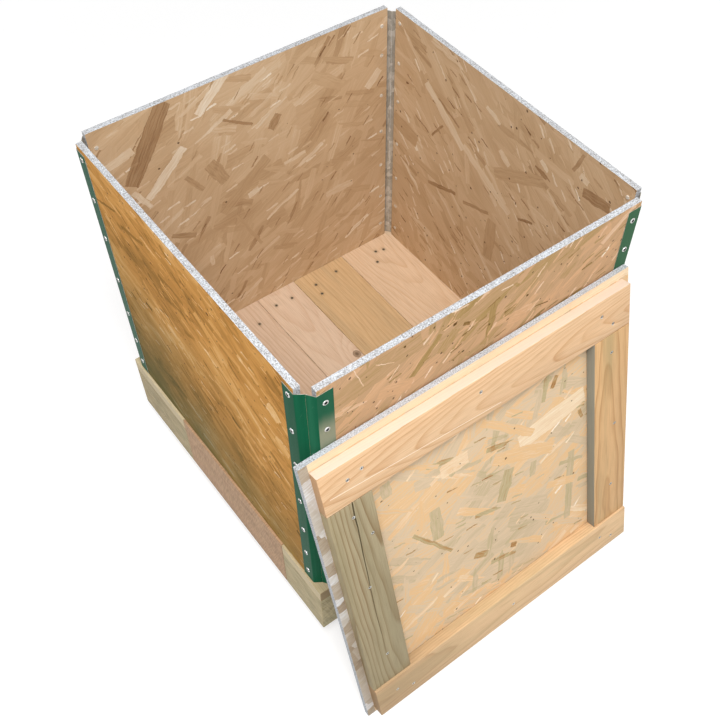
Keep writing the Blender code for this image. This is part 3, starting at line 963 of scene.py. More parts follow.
@dataclass(frozen=True)
class Pine:
    """Pine or spruce, cut from a log: growth rings in depth, fibres, knots and stains."""

    name: str
    place: Placement
    seed: float
    early: str
    late: str
    stain: str
    ring: float
    heart: tuple[float, float]
    contrast: float = 0.7
    slope: float = 0.03
    wander: float = 0.010
    stained: float = 0.35
    knots: tuple[Knot, ...] = ()
    marks: tuple[Knot, ...] = ()
    # Painted light: highlight or shade laid on the faces that point one way
    sides: tuple[PaintedLightSide, ...] = ()
    pale_lines: tuple[Flake, ...] = ()
    sawn: float = 0.0

    # The same in every timber
    seed_step: float = 0.37
    drift: Triple = (0.24, 0.06, 0.06)
    ring_drift: float = 1.6
    ring_chance: float = 3.7
    cloud: Triple = (0.30, 0.030, 0.030)
    cloud_levels: tuple[float, float] = (0.40, 0.72)
    fibre: Triple = (0.040, 0.0011, 0.0011)
    fibre_share: float = 0.75
    saw_line: Triple = (0.0016, 0.030, 0.030)
    saw_turn: Triple = (0.0, 0.0, 0.35)
    knot_reach: float = 2.4
    knot_lift: float = 2.2
    knot_fade: float = -0.25
    knot_stretch: float = 1.25
    mark_stretch: float = 1.5
    mark_share: float = 0.45
    mark_fade: float = -0.8
    side_facing: float = 0.7
    end_share: float = 0.45
    late_height: float = 0.35
    fibre_height: float = 0.9
    depth: float = 0.0004
    relief: float = 0.5
    roughness: tuple[float, float] = (0.25, 0.45)
    gloss: float = 0.20

    def make(self) -> bpy.types.Material:
        """Make the material.

        Returns:
            The material.
        """
        shader = Shader(self.name, self.place)
        point = shader.vector("ADD", shader.local, (self.seed, self.seed * self.seed_step, 0.0))
        rings, bulge = self.rings(shader, point)
        band = shader.ramp(shader.math("FRACT", rings), RING_TONES)
        late = shader.split(band)[0]
        ring_place = shader.unite(shader.math("FLOOR", rings), self.seed, 0.0)
        own = shader.noise(ring_place, self.ring_chance, detail=0.0).outputs[0]
        share = shader.times(late, shader.times(own, self.contrast * 2.0))
        shader.colour = shader.mix(share, shade(self.early), shade(self.late))
        cloud = shader.streaks(point, self.cloud, detail=3.0).outputs[0]
        patch = shader.times(shader.curve(cloud, *self.cloud_levels), self.stained)
        shader.paint(patch, shade(self.stain))
        fibre = shader.streaks(point, self.fibre, detail=3.0).outputs[0]
        shader.paint(self.fibre_share, shader.ramp(fibre, FIBRE_TONES), "MULTIPLY")
        if self.sawn:
            bite = shader.streaks(point, self.saw_line, turn=self.saw_turn).outputs[0]
            shader.paint(self.sawn, shader.ramp(bite, SAW_LINE_TONES), "MULTIPLY")
        self.spot(shader)
        self.draw_pale_lines(shader)
        # Painted light: each listed side gets a painted highlight or painted shade, by its colour
        for side in self.sides:
            facing = shader.above(shader.facing(side.direction), self.side_facing)
            shader.paint(shader.times(facing, side.share), shade(side.colour))
        along = shader.math("ABSOLUTE", shader.facing(self.place.along))
        end_grain = shader.times(shader.above(along, self.side_facing), self.end_share)
        shader.paint(end_grain, shade("A58C69"), "MULTIPLY")
        height = shader.scaled(late, self.late_height, shader.scaled(fibre, self.fibre_height, bulge))
        shader.relief(height, self.depth, self.relief)
        return shader.coat(shader.scaled(fibre, *self.roughness), gloss=self.gloss)

    def rings(self, shader: Shader, point: Socket) -> tuple[Socket, Value]:
        """Count the growth rings out from the log's heart.

        Args:
            shader: The material's nodes.
            point: The place on the board, moved by the seed.

        Returns:
            The number of rings to the heart, and how much knots lift the surface.
        """
        drift_x, drift_y, drift_z = shader.split(shader.streaks(point, self.drift).outputs["Color"])
        along, across, out = shader.split(shader.local)
        across = shader.math("SUBTRACT", across, self.heart[0])
        across = shader.scaled(drift_x, self.wander * 2.0, across)
        depth = shader.scaled(along, self.slope, shader.math("ADD", out, self.heart[1]))
        depth = shader.scaled(drift_y, self.wander * 2.0, depth)
        bulge: Value = 0.0
        for knot in self.knots:
            lift = knot.fade(shader, self.knot_reach, self.knot_fade)
            depth = shader.scaled(lift, knot.radius * self.knot_lift, depth)
            bulge = shader.math("ADD", bulge, lift)
        square = shader.scaled(across, across, shader.times(depth, depth))
        reach = shader.math("DIVIDE", shader.math("SQRT", square), self.ring)
        return shader.scaled(drift_z, self.ring_drift, reach), bulge

    def spot(self, shader: Shader) -> None:
        """Darken the knots, the stains round nails, and any spot of painted shade.

        Args:
            shader: The material's nodes.
        """
        for knot in self.knots:
            near = knot.near(shader, self.knot_stretch)
            eye = shader.split(shader.ramp(near, KNOT_SHARES))[0]
            shader.paint(eye, shader.ramp(near, KNOT_TONES))
        for mark in self.marks:
            halo = shader.times(mark.fade(shader, self.mark_stretch, self.mark_fade), self.mark_share)
            shader.paint(halo, shade("6E5A41"))

    def draw_pale_lines(self, shader: Shader) -> None:
        """Draw the thin pale lines along the face.

        Args:
            shader: The material's nodes.
        """
        for line in self.pale_lines:
            length, width, _ = shader.split(shader.vector("ABSOLUTE", line.seat(shader, shader.local)))
            inside = shader.below(shader.math("MAXIMUM", length, width), 1.0)
            shader.paint(shader.times(inside, line.tone), shade("FFF1DC"))


@dataclass(frozen=True)
class LacqueredSheet:
    """Sheet steel of a corner strip: green lacquer outside, with painted reflection and shade on its
    flanges, and bare zinc inside.
    """

    name: str
    outward: Vector
    # Whether a pale reflection of the lid is painted on the front flange
    reflects_lid: bool = False
    # Paler green painted on the front-facing flange as a reflection
    front_reflection_tone: str = "476A4C"

    # The same on every strip
    front_reflection_share: float = 0.70
    # Darker green painted on the left-facing flange as shade
    left_shade_tone: str = "03482E"
    left_shade_share: float = 0.55
    face_facing: float = 0.97
    outside_levels: tuple[float, float] = (0.02, 0.10)
    streak: Triple = (0.010, 0.010, 0.25)
    scuff: Triple = (0.002, 0.002, 0.03)
    scuff_turn: Triple = (0.3, 0.2, 0.4)
    scuff_levels: tuple[float, float] = (0.68, 0.76)
    scuff_and_sheen_share: float = 0.18
    spangle: Triple = (0.006, 0.006, 0.009)
    lid_reflection_wander: float = 0.012
    lid_reflection_bottom: tuple[float, float] = (0.560, 0.600)
    lid_reflection_top: tuple[float, float] = (0.612, 0.660)
    lid_reflection_share: float = 0.70
    depth: float = 0.0006
    relief: float = 0.35
    roughness: tuple[float, float] = (0.24, 0.20)
    metallic: tuple[float, float] = (-0.35, 0.35)
    gloss: float = 0.015

    def make(self) -> bpy.types.Material:
        """Make the material.

        Returns:
            The material.
        """
        shader = Shader(self.name)
        outside = shader.curve(shader.facing(self.outward), *self.outside_levels)
        streak = shader.streaks(shader.local, self.streak, detail=3.0).outputs[0]
        shader.colour = shader.ramp(streak, LACQUER_TONES)
        # Pale upright streaks: partly scuffs, partly painted sheen along the strip
        scuff = shader.streaks(shader.local, self.scuff, 4.0, self.scuff_turn).outputs[0]
        scuff_and_sheen = shader.times(shader.curve(scuff, *self.scuff_levels), self.scuff_and_sheen_share)
        shader.paint(scuff_and_sheen, shade("7FA092"))
        # Painted shade: the flange that faces left is laid a darker green
        shaded = shader.above(shader.facing(-RIGHT), self.face_facing)
        shader.paint(shader.times(shaded, self.left_shade_share), shade(self.left_shade_tone))
        # Painted reflection: the flange that faces the front is laid a paler, greyer green
        flange = shader.above(shader.facing(-BACK), self.face_facing)
        shader.paint(shader.times(flange, self.front_reflection_share), shade(self.front_reflection_tone))
        # Painted reflection of the leaning lid on the front flange
        if self.reflects_lid:
            self.paint_lid_reflection(shader, flange, streak)
        spangle = shader.cells(shader.seat(shader.local, LEVEL, LEVEL, self.spangle), flat=False)
        zinc = shader.ramp(shader.split(spangle.outputs["Color"])[0], ZINC_TONES)
        shader.colour = shader.mix(outside, zinc, shader.colour)
        shader.relief(streak, self.depth, self.relief)
        roughness = shader.scaled(scuff, *self.roughness)
        return shader.coat(roughness, shader.scaled(outside, *self.metallic), gloss=self.gloss)

    def paint_lid_reflection(self, shader: Shader, flange: Socket, streak: Socket) -> None:
        """Paint a pale reflection of the leaning lid on the front flange, in a band near the height of the
        lid's top edge.

        Args:
            shader: The material's nodes.
            flange: 1 on the front flange.
            streak: The strip's fine upright streaks.
        """
        height = shader.scaled(streak, self.lid_reflection_wander, shader.split(shader.local)[2])
        below_top = shader.math("SUBTRACT", 1.0, shader.curve(height, *self.lid_reflection_top))
        share = shader.times(shader.times(below_top, shader.curve(height, *self.lid_reflection_bottom)), flange)
        shader.paint(shader.times(share, self.lid_reflection_share), shade("ABA68E"))


@dataclass(frozen=True)
class BrightMetal:
    """Plain metal of rivets and nails, with fine scoring and a little tarnish."""

    name: str
    clean: str
    dull: str
    roughness: float
    scale: float = 420.0
    dull_levels: tuple[float, float] = (0.38, 0.66)
    depth: float = 0.0002
    relief: float = 0.35
    tarnish: float = 0.3
    metallic: float = 0.85

    def make(self) -> bpy.types.Material:
        """Make the material.

        Returns:
            The material.
        """
        shader = Shader(self.name)
        cloud = shader.noise(shader.local, self.scale, detail=3.0).outputs[0]
        shader.colour = shade(self.clean)
        shader.paint(shader.curve(cloud, *self.dull_levels), shade(self.dull))
        shader.relief(cloud, self.depth, self.relief)
        return shader.coat(shader.scaled(cloud, self.tarnish, self.roughness), self.metallic)


# Pieces


@dataclass
class Fastener:
    """A rivet or a nail, modelled once about +Z and copied to its places."""

    name: str
    radius: float
    rings: Sequence[tuple[float, float]]
    sides: int = 16
    hollow: float = 0.0
    smooth_below: float = 40.0

    def model(self, metal: bpy.types.Material, dark: bpy.types.Material) -> bpy.types.Object:
        """Model the head from a disc that is extruded and drawn in, ring by ring.

        Args:
            metal: The head's own metal.
            dark: What lines its hollow, dark as painted shade in the recess.

        Returns:
            The head, standing on z = 0.
        """
        deselect_everything()
        bpy.ops.mesh.primitive_circle_add(vertices=self.sides, radius=self.radius, fill_type="NGON")
        head = bpy.context.active_object
        head.name = self.name
        head.data.materials.append(metal)
        head.data.materials.append(dark)
        level = 0.0
        radius = self.radius
        with edit_mode(head, Pick.FACES):
            bpy.ops.mesh.select_all(action="SELECT")
            for next_radius, next_level in self.rings:
                push((0.0, 0.0, next_level - level))
                draw_in(next_radius / radius)
                level = next_level
                radius = next_radius
            face_out()
            top = max(ring[1] for ring in self.rings)
            pick_parts(
                head, Pick.FACES, lambda at, _: 0.0 < at.z < top and at.xy.length < self.hollow
            )
            head.active_material_index = 1
            bpy.ops.object.material_slot_assign()
        smooth_by_angle(head, self.smooth_below)
        return head


def rivet_head() -> Fastener:
    """Describe the head of a blind rivet, with the hole that its pin left.

    Returns:
        The head.
    """
    rings = (
        (0.00450, 0.00040), (0.00430, 0.00070), (0.00385, 0.00098), (0.00335, 0.00114),
        (0.00300, 0.00119), (0.00270, 0.00100), (0.00245, 0.00012),
    )
    return Fastener("rivet_head", 0.0045, rings, hollow=0.0027)


def rivet_tail() -> Fastener:
    """Describe the clinched end of a rivet on the wall's inner face."""
    rings = ((0.0036, 0.00045), (0.0031, 0.00075), (0.0020, 0.00088), (0.0013, 0.00060))
    return Fastener("rivet_tail", 0.0036, rings, 12)


def nail_head() -> Fastener:
    """Describe the flat head of a nail."""
    rings = ((0.0030, 0.00010), (0.0026, 0.00022), (0.0012, 0.00026), (0.0009, 0.00016))
    return Fastener("nail_head", 0.0030, rings, 14, 0.0011)


@dataclass(frozen=True)
class NailRow:
    """The nails of one part: their name, body, slot and metals."""

    name: str
    body: str
    slot: str
    metal: BrightMetal
    hollow: BrightMetal

    def drive(self, places: Sequence[Matrix]) -> None:
        """Copy a nail's head to its places, and join the heads as one piece.

        Args:
            places: The place and turn of each head.
        """
        nail = nail_head().model(self.metal.make(), self.hollow.make())
        row = [copy_piece(nail, "nail", place) for place in places]
        discard(nail)
        fit(join_pieces(self.name, row), self.body, self.slot, None)


@dataclass(frozen=True)
class Wall:
    """A wall of the sleeve: its name, its quarter turns from the front and its neighbours."""

    side: str
    turns: int
    neighbours: tuple[str, str]
    rivets: tuple[float, ...]

    @property
    def body(self) -> str:
        """Name the body that the wall is."""
        return f"{self.side}_wall"

    def matrix(self, bottom: float, half: float) -> Matrix:
        """Give the turn and place of the wall's own frame."""
        turn = Matrix.Rotation(self.turns * math.pi / 2, 4, "Z")
        return turn @ Matrix.Translation((0.0, -half, bottom))


SIDE_RIVETS = (0.028, 0.087, 0.160, 0.244, 0.340, 0.420, 0.498)
END_RIVETS = (0.036, 0.110, 0.190, 0.270, 0.350, 0.433, 0.490)

WALLS = (
    Wall("front", 0, ("left", "right"), END_RIVETS),
    Wall("right", 1, ("front", "rear"), SIDE_RIVETS),
    Wall("rear", 2, ("right", "left"), END_RIVETS),
    Wall("left", 3, ("rear", "front"), SIDE_RIVETS),
)


@dataclass
class Sleeve:
    """The four walls and the steel strips that join them."""

    half: float = 0.300
    bottom: float = 0.1829
    height: float = 0.520
    board: float = 0.010
    end_inset: float = 0.020
    crease_inset: float = 0.011
    sheet: float = 0.0007
    flange: float = 0.025
    bend_lead: float = 0.0008
    bend_radius: float = 0.002
    bend_steps: int = 6
    crease_gap: float = 0.00007
    taper: float = 0.0015
    tip_share: float = 0.11
    top_recess: float = 0.009
    foot_gap: float = 0.002
    gap: float = 0.0003
    rivet_from_bend: float = 0.0125
    burr: float = 0.00003
    burr_angle: float = 60.0
    smooth_below: float = 35.0
    steels: dict[str, bpy.types.Material] = field(default_factory=dict)

    @property
    def strip_height(self) -> float:
        """Give the height of a corner strip."""
        return self.height - self.top_recess - self.foot_gap

    def build(self) -> None:
        """Dress the panels, and build the strips and their rivets."""
        self.dress_panels()
        leaf = self.model_leaf()
        metal = BrightMetal("rivet_metal", "E4E5E6", "B2AFA8", 0.22).make()
        # The rivet's hollow is lined near black: painted shade of the pin's deep hole
        dark = BrightMetal("rivet_hole", "2B2A26", "14140F", 0.55).make()
        dull = BrightMetal("rivet_tail_metal", "F2EEE6", "CDC7BA", 0.60).make()
        row_parts = (rivet_head().model(metal, dark), rivet_tail().model(dull, dark))
        for wall in WALLS:
            for end, neighbour in zip((-1, 1), wall.neighbours):
                self.place_leaf(leaf, wall, end, neighbour)
                self.place_rivets(row_parts, wall, end, neighbour)
        for tool in (leaf, *row_parts):
            discard(tool)

    def dress_panels(self) -> None:
        """Give each wall panel its strand board."""
        middle = Vector((0.0, self.board / 2, self.height / 2))
        own = Placement(middle, RIGHT, UP, -BACK)
        looks = {
            "front": dict(
                seed=0.9, outside=FRONT_TONES, turned=(28.0, 10.0), flakes_outside=FRONT_FLAKES,
                contrast=1.05, flecks=2.0, pitted=0.18,
            ),
            "right": dict(
                seed=2.3, outside=GOLDEN_TONES, turned=(5.0, 32.0), flakes_inside=RIGHT_FLAKES,
                spread=0.8, contrast=1.1, flecks=1.4, pitted=0.10,
            ),
            "rear": dict(
                seed=4.1, outside=GOLDEN_TONES, turned=(-8.0, -36.0), flakes_inside=REAR_FLAKES,
                contrast=1.15, pitted=0.02,
            ),
            "left": dict(
                seed=6.6, outside=GOLDEN_TONES, turned=(-18.0, 20.0), flakes_outside=LEFT_FLAKES,
                spread=0.6, contrast=1.25, cloudy=0.85, size=0.6, flecks=0.6, pitted=0.20, floor_bounce=0.95,
            ),
        }
        for wall in WALLS:
            place = own.moved(wall.matrix(self.bottom, self.half))
            board = StrandBoard(f"strand_board_{wall.side}", place, **looks[wall.side])
            dress_node(f"{wall.side}_wall_panel", board.make())

    def steel(self, wall: Wall, neighbour: str) -> bpy.types.Material:
        """Give the steel of the corner between two walls, which is made once.

        Args:
            wall: The wall.
            neighbour: The side that the wall next to it is on.

        Returns:
            The corner's steel.
        """
        key = "_".join(sorted((wall.side, neighbour)))
        if key not in self.steels:
            pointing = {"front": -BACK, "rear": BACK, "left": -RIGHT, "right": RIGHT}
            outward = (pointing[wall.side] + pointing[neighbour]).normalized()
            steel = LacqueredSheet(f"strip_steel_{key}", outward)
            # The front-left strip gets the painted reflection of the lid, and its own painted front-flange
            # reflection tone
            if key == "front_left":
                steel = replace(steel, reflects_lid=True, front_reflection_tone="2A5F46")
            self.steels[key] = steel.make()
        return self.steels[key]

    def outline(self) -> list[Vector]:
        """Trace a leaf from its free edge, round the bend, to the crease.

        Returns:
            The points along the middle of the sheet, at z = 0.
        """
        middle = -self.gap - self.sheet / 2
        bend = Vector((self.half - self.end_inset + self.bend_lead, middle, 0.0))
        crease = Vector((self.half - self.crease_inset, self.crease_inset, 0.0))
        facet = (crease - bend).normalized()
        turn = math.atan2(facet.y, facet.x)
        arc = Vector((bend.x - self.bend_radius * math.tan(turn / 2), bend.y + self.bend_radius, 0.0))
        points = [Vector((bend.x - self.flange, middle, 0.0))]
        for step in range(self.bend_steps + 1):
            angle = turn * step / self.bend_steps
            points.append(arc + self.bend_radius * Vector((math.sin(angle), -math.cos(angle), 0.0)))
        points.append(crease - facet * self.taper)
        points.append(crease - facet * self.crease_gap)
        return points

    def model_leaf(self) -> bpy.types.Object:
        """Model one leaf of a corner strip at a wall's right end, in the wall's own frame.

        Returns:
            The leaf: a narrow standing plane whose edge is extruded round the bend and thinned
            towards the crease, where it almost meets its neighbour at every fold.
        """
        points = self.outline()
        first, second = points[0], points[1]
        middle = (first + second) / 2 + UP * (self.foot_gap + self.strip_height / 2)
        deselect_everything()
        bpy.ops.mesh.primitive_plane_add(size=1.0, location=middle, rotation=(math.pi / 2, 0.0, 0.0))
        leaf = bpy.context.active_object
        leaf.name = "leaf"
        leaf.scale = (second.x - first.x, self.strip_height, 1.0)
        settle(leaf)
        with edit_mode(leaf, Pick.EDGES):
            pick_parts(leaf, Pick.EDGES, lambda a, b: min(a.x, b.x) > middle.x)
            for here, there in zip(points[1:], points[2:]):
                bpy.ops.mesh.extrude_edges_move(TRANSFORM_OT_translate={"value": tuple(there - here)})
        sheet = leaf.modifiers.new("sheet", "SOLIDIFY")
        sheet.thickness = self.sheet
        sheet.offset = 0.0
        sheet.use_even_offset = True
        finish_modifier(leaf, sheet.name)
        with edit_mode(leaf, Pick.FACES):
            face_out()
        tip = points[-1]
        with edit_mode(leaf, Pick.POINTS):
            pick_parts(leaf, Pick.POINTS, lambda point: (point.xy - tip.xy).length < self.sheet)
            bpy.ops.transform.resize(value=(self.tip_share, self.tip_share, 1.0), center_override=tip)
        burr = leaf.modifiers.new("burr", "BEVEL")
        burr.width = self.burr
        burr.segments = 1
        burr.limit_method = "ANGLE"
        burr.angle_limit = math.radians(self.burr_angle)
        finish_modifier(leaf, burr.name)
        smooth_by_angle(leaf, self.smooth_below)
        return leaf

    def place_leaf(self, leaf: bpy.types.Object, wall: Wall, end: int, neighbour: str) -> None:
        """Copy the leaf to one end of a wall.

        Args:
            leaf: The leaf, as it is at a right end.
            wall: The wall.
            end: 1 for its right end and -1 for its left.
            neighbour: The side that the wall at that end is on.
        """
        mirror = Matrix.Diagonal((float(end), 1.0, 1.0, 1.0))
        matrix = wall.matrix(self.bottom, self.half) @ mirror
        piece = copy_piece(leaf, f"{wall.side}_strip_{neighbour}", matrix)
        node = f"{wall.side}_wall_leaf_{neighbour}"
        fit(piece, wall.body, "corner_steel", self.steel(wall, neighbour), node)

    def place_rivets(
        self,
        parts: tuple[bpy.types.Object, bpy.types.Object],
        wall: Wall,
        end: int,
        neighbour: str,
    ) -> None:
        """Copy the rivets to one end of a wall, as one piece.

        Args:
            parts: A rivet's head and its tail.
            wall: The wall.
            end: 1 for its right end and -1 for its left.
            neighbour: The side that the wall at that end is on.
        """
        head, tail = parts
        along = end * (self.half - self.end_inset + self.bend_lead - self.rivet_from_bend)
        own = wall.matrix(self.bottom, self.half)
        outward = Matrix.Rotation(math.pi / 2, 4, "X")
        inward = Matrix.Rotation(-math.pi / 2, 4, "X")
        row = []
        for height in wall.rivets:
            sheet_face = Matrix.Translation((along, -self.gap - self.sheet, height))
            board_face = Matrix.Translation((along, self.board, height))
            row.append(copy_piece(head, "head", own @ sheet_face @ outward))
            row.append(copy_piece(tail, "tail", own @ board_face @ inward))
        rivets = join_pieces(f"{wall.side}_rivets_{neighbour}", row)
        fit(rivets, wall.body, "corner_steel", None)


@dataclass
class Base:
    """The nailed base: skids, bearers, side boards and deck."""

    deck_top: float = 0.1826
    nails: tuple[tuple[float, float], ...] = (
        (-0.015, 0.257), (0.021, 0.255), (0.080, 0.256), (0.134, 0.262), (0.076, 0.229), (0.233, 0.259),
        (0.250, 0.254), (0.218, 0.233), (-0.100, 0.256), (-0.068, 0.236), (-0.240, 0.258), (-0.205, 0.237),
        (-0.232, -0.252), (-0.205, -0.268), (-0.125, -0.250), (-0.082, -0.266), (-0.016, -0.255),
        (0.024, -0.262), (0.082, -0.252), (0.130, -0.266), (0.214, -0.253), (0.247, -0.264),
    )
    nail_stain: float = 0.0033
    deck_knot: Knot = Knot(-0.062, 0.034, 0.0075)
    plank_ring: float = 0.0062
    plank_seed: float = 1.7
    timber_seed: float = 20.0
    timber_step: float = 2.3
    timber_heart: tuple[float, float] = (0.03, 0.05)

    def build(self) -> None:
        """Dress the timbers and drive the nails."""
        self.dress_planks()
        self.dress_timbers()
        self.drive_nails()

    def board_place(self, node: str, along: Vector, across: Vector) -> Placement:
        """Give the placement of a board from its solid's box.

        Args:
            node: The solid's name.
            along: The direction of the grain.
            across: The direction across the face.

        Returns:
            The placement, with the face pointing along x cross y.
        """
        low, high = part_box(node)
        return Placement((low + high) / 2, along, across, along.cross(across))

    def dress_planks(self) -> None:
        """Give each deck plank its own cut of pine."""
        looks = {
            "left": ("D3C3A0", "B7A27A", "B5AA86", (-0.03, 0.11), 0.4, 0.020),
            "inner_left": ("DCC2A9", "C7A588", "CEB397", (0.16, 0.10), 0.50, 0.010),
            "middle": ("E0C7AE", "CFAC8E", "D9BC9E", (0.005, 0.06), 0.45, 0.055),
            "inner_right": ("D8B88D", "C29D70", "B29E7E", (-0.12, 0.09), 0.50, 0.015),
            "right": ("E6CAAB", "D2AC84", "DFC1A0", (0.02, 0.045), 0.50, 0.075),
        }
        marks = {name: [] for name in looks}
        for x, y in self.nails:
            for name in looks:
                low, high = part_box(f"deck_plank_{name}")
                if low.x < x < high.x:
                    middle = (low + high) / 2
                    marks[name].append(Knot(middle.y - y, x - middle.x, self.nail_stain))
        for number, (name, look) in enumerate(looks.items()):
            early, late, stain, heart, contrast, slope = look
            node = f"deck_plank_{name}"
            place = self.board_place(node, -BACK, RIGHT)
            timber = Pine(
                f"deck_pine_{name}", place, self.plank_seed * number, early, late, stain,
                ring=self.plank_ring, heart=heart, slope=slope, contrast=contrast,
                knots=(self.deck_knot,) if name == "middle" else (),
                marks=tuple(marks[name]),
            )
            dress_node(node, timber.make())

    def dress_timbers(self) -> None:
        """Give the bearers, side boards and skids their sawn pine."""
        looks = (
            ("bearer_front", RIGHT, UP, "E3DAB4", "C3B68C", "BAB693", 0.003),
            ("bearer_rear", RIGHT, UP, "DFD3AD", "C0B388", "B8B28F", 0.004),
            ("side_board_left", BACK, UP, "C6A280", "A98462", "B49474", 0.004),
            ("side_board_right", BACK, UP, "C6A280", "A98462", "B49474", 0.004),
            ("skid_left", BACK, RIGHT, "BFA47C", "9E7F55", "A09070", 0.005),
            ("skid_middle", BACK, RIGHT, "C3A780", "A08157", "A19172", 0.005),
            ("skid_right", BACK, RIGHT, "BCA17A", "9B7C53", "9F8F6F", 0.005),
        )
        for number, (node, along, across, early, late, stain, ring) in enumerate(looks):
            place = self.board_place(node, along, across)
            seed = self.timber_seed + self.timber_step * number
            timber = Pine(
                f"sawn_pine_{node}", place, seed, early, late, stain,
                ring=ring, heart=self.timber_heart, stained=0.5, sawn=0.6,
            )
            dress_node(node, timber.make())

    def drive_nails(self) -> None:
        """Drive the deck's nails through the planks into the bearers."""
        metal = BrightMetal("nail_metal", "9A9282", "6B6454", 0.35)
        # The nail heads' dimples are lined darker: painted shade in the recess
        hollow = BrightMetal("nail_hollow", "6E6450", "4A4336", 0.6)
        row = NailRow("deck_nails", "base", "deck_pine", metal, hollow)
        row.drive([Matrix.Translation((x, y, self.deck_top)) for x, y in self.nails])


@dataclass(frozen=True)
class Batten:
    """A board of the lid's frame: its corners in the lid's own frame, and its nails."""

    side: str
    low: Triple
    high: Triple
    nails: tuple[tuple[float, float], ...]
    upright: bool = False


@dataclass
class Lid:
    """The loose lid: a strand-board panel with four battens, leaning on the front wall."""

    foot: Triple = (-0.0245, -0.450699, 0.0003)
    lean: float = math.radians(14.3)
    length: float = 0.600
    board: float = 0.010
    arris: float = 0.0012
    nail_radius: float = 0.0030
    sink: float = 0.0012
    hole_sides: int = 14
    hole_flare: float = 1.25
    head_depth: float = 0.55
    smooth_below: float = 35.0
    face: float = -0.0103
    thin: float = -0.0283
    thick: float = -0.0323
    frame_half: float = 0.286
    frame_inner: float = 0.211
    upright_low: float = 0.0843
    upright_high: float = 0.5107
    split_half: float = 0.001
    split_depths: tuple[float, float] = (-0.0300, -0.0220)
    split_path: tuple[Triple, ...] = (
        (0.5200, -0.2440, 0.0021), (0.4820, -0.2455, 0.0025), (0.4600, -0.2448, 0.0018),
        (0.4060, -0.2466, 0.0017), (0.3560, -0.2474, 0.0014), (0.3270, -0.2484, 0.0012),
        (0.2600, -0.2493, 0.0009), (0.1560, -0.2480, 0.0002),
    )

    @property
    def matrix(self) -> Matrix:
        """Give the place and the lean of the lid's own frame."""
        return Matrix.Translation(self.foot) @ Matrix.Rotation(-self.lean, 4, "X")

    def battens(self) -> tuple[Batten, ...]:
        """List the battens.

        Returns:
            The top and foot battens, and the upright left and right ones between them.
        """
        half, inner, low, high = self.frame_half, self.frame_inner, self.upright_low, self.upright_high
        top = ((-0.219, 0.559), (-0.243, 0.554), (-0.0115, 0.5595), (0.226, 0.556), (0.250, 0.530))
        foot = ((-0.246, 0.052), (-0.215, 0.036), (0.010, 0.046), (0.222, 0.050), (0.250, 0.034))
        left = ((-0.2475, 0.482), (-0.2243, 0.431), (-0.2490, 0.327), (-0.2465, 0.153))
        right = ((0.248, 0.474), (0.2575, 0.315), (0.2514, 0.170))
        return (
            Batten("top", (-half, self.thin, 0.511), (half, self.face, 0.586), top),
            Batten("foot", (-half, self.thick, 0.014), (half, self.face, 0.084), foot),
            Batten("left", (-half, self.thin, low), (-inner, self.face, high), left, upright=True),
            Batten("right", (inner, self.thin, low), (half, self.face, high), right, upright=True),
        )

    def build(self) -> None:
        """Dress the panel, and make the battens and their nails."""
        own = Placement(Vector((0.0, -self.board / 2, self.length / 2)), RIGHT, UP, -BACK)
        board = StrandBoard(
            "strand_board_lid",
            own.moved(self.matrix),
            8.4,
            LID_TONES,
            turned=(4.0, 10.0),
            spread=1.3,
            contrast=1.15,
            flecks=0.65,
            flakes_outside=LID_FLAKES,
            blocks=0.15,
            margin_from=-0.2858,
        )
        dress_node("lid_panel", board.make())
        nails = []
        for batten in self.battens():
            piece = self.model_batten(batten)
            if batten.side == "left":
                self.split_batten(piece)
            fit(piece, "lid", "batten_pine", self.timber(batten).make(), f"lid_batten_{batten.side}")
            nails += [(x, batten.low[1] + self.sink * self.head_depth, z) for x, z in batten.nails]
        self.drive_nails(nails)

    def model_batten(self, batten: Batten) -> bpy.types.Object:
        """Model a batten with rounded arrises and sunk nail holes, and lean it.

        Args:
            batten: The batten.

        Returns:
            The batten in its place.
        """
        piece = new_box(f"batten_{batten.side}", batten.low, batten.high)
        with edit_mode(piece, Pick.EDGES):
            bpy.ops.mesh.select_all(action="SELECT")
            bpy.ops.mesh.bevel(offset=self.arris, segments=3, affect="EDGES")
        for x, z in batten.nails:
            deselect_everything()
            bpy.ops.mesh.primitive_cone_add(
                vertices=self.hole_sides,
                radius1=self.nail_radius * self.hole_flare,
                radius2=self.nail_radius,
                depth=self.sink * 2,
                location=(x, batten.low[1], z),
                rotation=(-math.pi / 2, 0.0, 0.0),
            )
            cut_away(piece, bpy.context.active_object)
        smooth_by_angle(piece, self.smooth_below)
        piece.matrix_world = self.matrix
        settle(piece)
        return piece

    def split_batten(self, piece: bpy.types.Object) -> None:
        """Open the long split that runs down the left batten through its nails.

        Args:
            piece: The batten in its place.
        """
        half = self.split_half
        front, back = self.split_depths
        top, bottom = self.split_path[0][0], self.split_path[-1][0]
        cutter = new_box("split", (-half, front, bottom), (half, back, top))
        with edit_mode(cutter, Pick.FACES):
            for height, _, _ in self.split_path[1:-1]:
                bpy.ops.mesh.select_all(action="SELECT")
                bpy.ops.mesh.bisect(plane_co=(0.0, 0.0, height), plane_no=(0.0, 0.0, 1.0))
        for height, middle, width in self.split_path:
            share = width / (2 * half)
            with edit_mode(cutter, Pick.POINTS):
                pick_parts(cutter, Pick.POINTS, lambda point: abs(point.z - height) < half / 2)
                bpy.ops.transform.resize(value=(share, 1.0, 1.0), center_override=(0.0, 0.0, height))
                bpy.ops.transform.translate(value=(middle, 0.0, 0.0))
        cutter.matrix_world = self.matrix
        settle(cutter)
        cut_away(piece, cutter)

